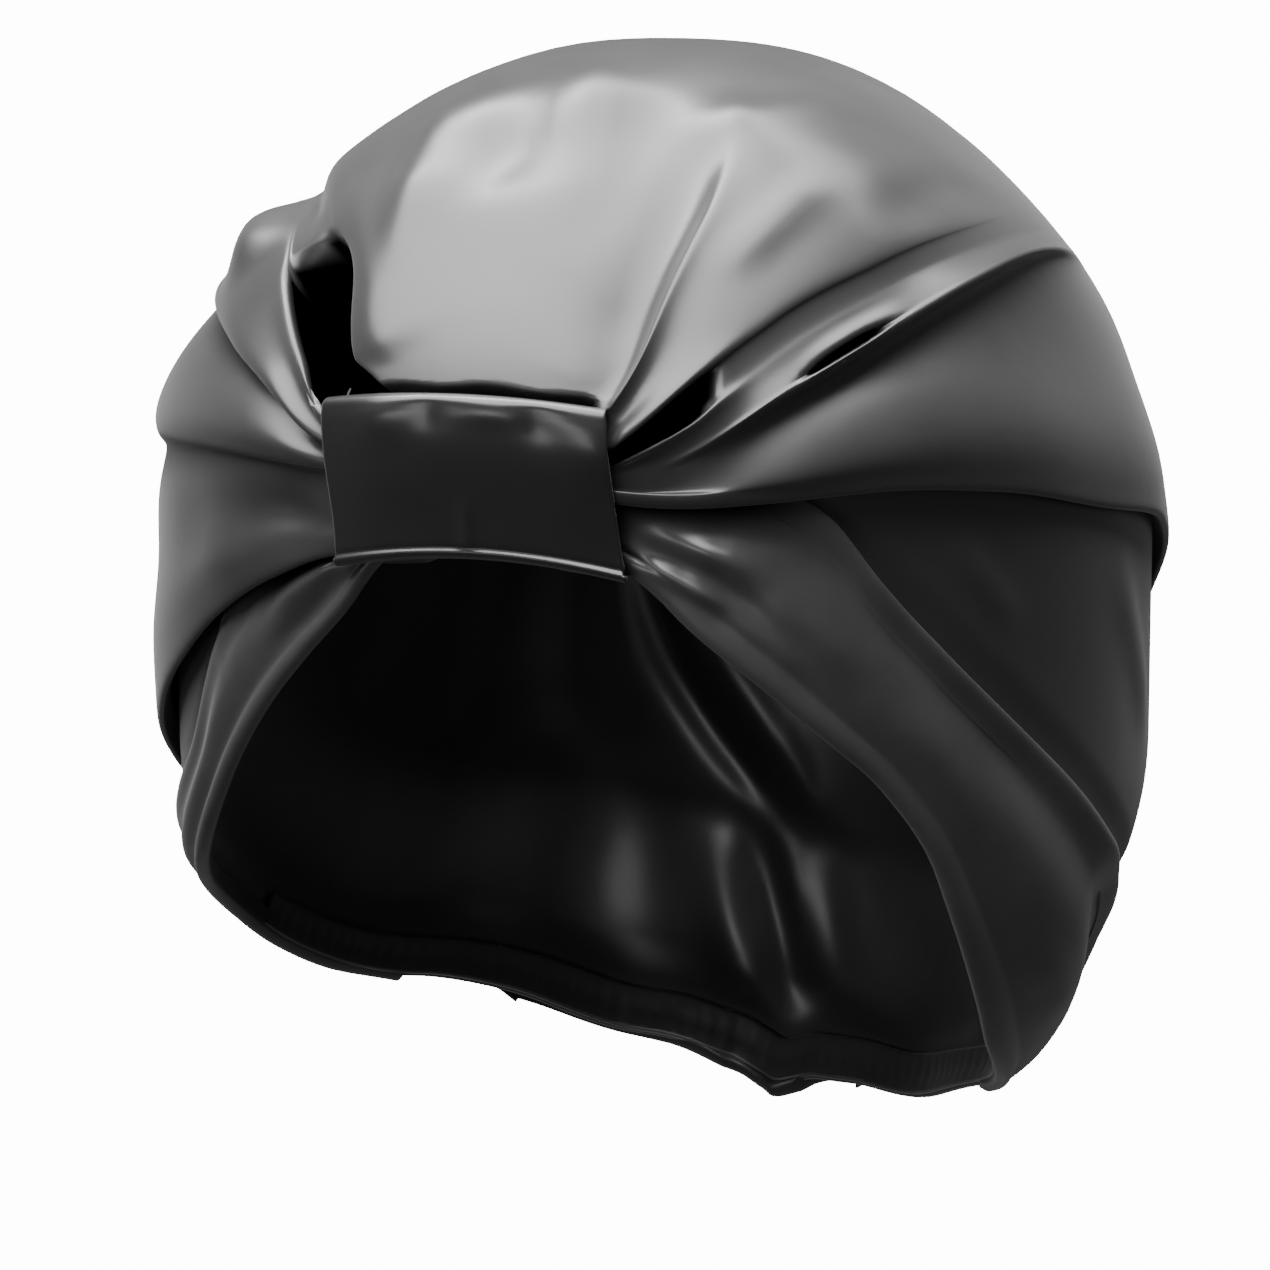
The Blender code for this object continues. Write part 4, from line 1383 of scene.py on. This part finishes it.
@dataclass
class FrontBand:
    """The folded strip at the brow that gathers the crown."""

    top_half_length: float = 0.0280
    bottom_half_length: float = 0.0330
    return_half_length: float = 0.0170
    top: float = 0.0360
    bottom: float = 0.0062
    bow: float = 0.0020
    hem_bow: float = 0.0012
    stand: float = 0.0053
    return_lift: float = CASING_LIFT - 0.0013
    narrow_above: float = 0.25
    narrow_below: tuple = (0.3, 0.5)
    hem_bow_fall: float = 1.5
    crease_height: float = 0.0004
    crease_place: float = 0.54
    crease_lean: float = 0.06
    crease_width: float = 0.03
    crease_stretch: tuple = (0.02, 0.1, 0.25, 0.5)
    wall: float = 0.0011
    rows: int = 150
    columns: int = 150

    def places(self) -> Array:
        """The band's face round its fold, from the return in the slit above to the one inside.

        Returns:
            The places.
        """
        w, u = grid(self.rows, self.columns)
        rows = np.array(BAND_PROFILE, float).T
        stations = np.arange(rows.shape[1]) / (rows.shape[1] - 1)
        height, stand, inward = (through(w, stations, row) for row in rows)
        middle = 2 * u - 1
        half = self.bottom_half_length + (self.top_half_length - self.bottom_half_length) * height
        below, over = self.narrow_below
        narrow = smooth(inward / self.narrow_above) * (w < 0.5) + smooth((inward - below) / over) * (w >= 0.5)
        x = middle * (half + (self.return_half_length - half) * narrow)
        z = self.bottom + height * (self.top - self.bottom) + self.bow * (1 - middle**2)
        z = z + self.hem_bow * (1 - self.hem_bow_fall * middle**2) * np.clip(1 - height, 0, 1)
        start = np.stack([x, np.zeros(x.shape), z], -1)
        p = FORM.along_ray(start, np.broadcast_to([0.0, -1.0, 0.0], start.shape))
        lift = stand * self.stand + inward * self.return_lift
        for place, at, reach, rise, raised in BAND_SWELLS:
            far = ((u - place) / reach) ** 2 + ((height - at) / rise) ** 2
            lift = lift + raised * MM * stand * np.exp(-far)
        across = (u - self.crease_place + self.crease_lean * (1 - height)) / self.crease_width
        crease = np.exp(-(across**2)) * envelope(height, *self.crease_stretch)
        return FORM.lifted(p, lift + self.crease_height * crease)

    def build(self) -> None:
        """Makes the band and reports it."""
        Panel("front_band_cloth", Finish.BAND, "front_band", self.wall).build(self.places())


@dataclass(frozen=True)
class Softbox:
    """A rectangular area light: its place, the point that it faces, its width and depth in metres, and watts."""

    name: str
    place: tuple
    aim: tuple
    width: float
    depth: float
    power: float

    def build(self) -> None:
        """Hangs the light up."""
        data = bpy.data.lights.new(self.name, "AREA")
        data.shape = "RECTANGLE"
        data.size = self.width
        data.size_y = self.depth
        data.energy = self.power
        light = bpy.data.objects.new(self.name, data)
        light.location = self.place
        light.rotation_euler = (Vector(self.aim) - Vector(self.place)).to_track_quat("-Z", "Y").to_euler()
        bpy.context.scene.collection.objects.link(light)


SOFTBOXES = (
    Softbox("overhead_softbox", (-0.20, -0.40, 1.0), (-0.1, -0.1, -0.1), 1.3, 1.5, 88.0),
    Softbox("overhead_strip", (-0.15, 0.32, 1.0), (0.0, 0.0, 0.0), 1.5, 0.16, 24.0),
    Softbox("front_fill", (-0.5, -1.9, -0.10), (0.0, 0.03, -0.1), 1.0, 0.6, 8.0),
)


@dataclass
class Studio:
    """The pale floor, the softboxes and the camera."""

    azimuth: float = 22.0
    elevation: float = 9.0
    distance: float = 1.0
    metres_per_pixel: float = 0.00021
    frame_pixels: float = 1270.0
    centre_pixel: tuple = (657.0, 537.0)
    sensor: float = 36.0
    far_clip: float = 200.0
    floor_height: float = -0.42
    floor_reach: float = 40.0
    floor_shade: float = 0.02
    floor_glow: float = 14.0
    world_shade: float = 0.8
    world_glow: float = 0.18

    def camera(self) -> None:
        """The camera: the form's centre falls on its pixel in the photograph, without lens shift."""
        azimuth, elevation = math.radians(self.azimuth), math.radians(self.elevation)
        level = math.cos(elevation)
        back = Vector((math.sin(azimuth) * level, -math.cos(azimuth) * level, math.sin(elevation)))
        right = Vector((math.cos(azimuth), math.sin(azimuth), 0.0))
        up = back.cross(right)
        middle = self.frame_pixels / 2
        target = Vector(FORM.centre) + right * (middle - self.centre_pixel[0]) * self.metres_per_pixel
        target += up * (self.centre_pixel[1] - middle) * self.metres_per_pixel
        data = bpy.data.cameras.new("photo_camera")
        data.sensor_width = self.sensor
        data.lens = self.sensor * self.distance / (self.frame_pixels * self.metres_per_pixel)
        data.clip_end = self.far_clip
        camera = bpy.data.objects.new("photo_camera", data)
        turn = Matrix((right, up, back)).transposed()
        camera.matrix_world = Matrix.Translation(target + back * self.distance) @ turn.to_4x4()
        bpy.context.scene.collection.objects.link(camera)
        bpy.context.scene.camera = camera

    def floor(self) -> None:
        """A wide pale floor, which glows evenly to the horizon and casts none of its light on the cloth."""
        reach, height = self.floor_reach, self.floor_height
        corners = [(x * reach, y * reach, height) for x, y in ((-1, -1), (1, -1), (1, 1), (-1, 1))]
        mesh = bpy.data.meshes.new("studio_floor")
        mesh.from_pydata(corners, [], [(0, 1, 2, 3)])
        paint = bpy.data.materials.new("floor_paper")
        paint.use_nodes = True
        set_inputs(paint.node_tree, paint.node_tree.nodes["Principled BSDF"], {
            "Base Color": (self.floor_shade, self.floor_shade, self.floor_shade, 1.0),
            "Roughness": 1.0,
            "Specular IOR Level": 0.0,
            "Emission Color": (1.0, 1.0, 1.0, 1.0),
            "Emission Strength": self.floor_glow,
        })
        mesh.materials.append(paint)
        floor = bpy.data.objects.new("studio_floor", mesh)
        floor.visible_diffuse = False
        floor.visible_glossy = False
        bpy.context.scene.collection.objects.link(floor)

    def build(self) -> None:
        """Sets the studio up."""
        world = bpy.data.worlds.new("studio")
        world.use_nodes = True
        set_inputs(world.node_tree, world.node_tree.nodes["Background"], {
            "Color": (self.world_shade, self.world_shade, self.world_shade, 1.0),
            "Strength": self.world_glow,
        })
        bpy.context.scene.world = world
        self.floor()
        for softbox in SOFTBOXES:
            softbox.build()
        self.camera()
        LOG.info("studio: floor, %d softboxes and the camera", len(SOFTBOXES))


def main() -> None:
    """Builds the headwrap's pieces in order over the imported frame, then the studio."""
    logging.basicConfig(level=logging.INFO, format="%(name)s: %(message)s")
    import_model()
    MATERIALS.update({finish: finish.value.material() for finish in Finish})
    Crown().build()
    BrowWrap("brow_wrap_left", LEFT_BROW, LEFT_STRIPS, 0.0, 1.0, LEFT_BROW_PULLS).build()
    BrowWrap("brow_wrap_right", RIGHT_BROW, RIGHT_STRIPS, 10.0, -1.0, RIGHT_BROW_PULLS).build()
    SideWrap("side_wrap_left", LEFT_BROW, 0.0, 1.0, pulls=LEFT_SIDE_PULLS).build()
    SideWrap("side_wrap_right", RIGHT_BROW, 10.0, -1.0).build()
    Lining().build()
    NapeCasing().build()
    FrontBand().build()
    Studio().build()


if __name__ == "__main__":
    main()
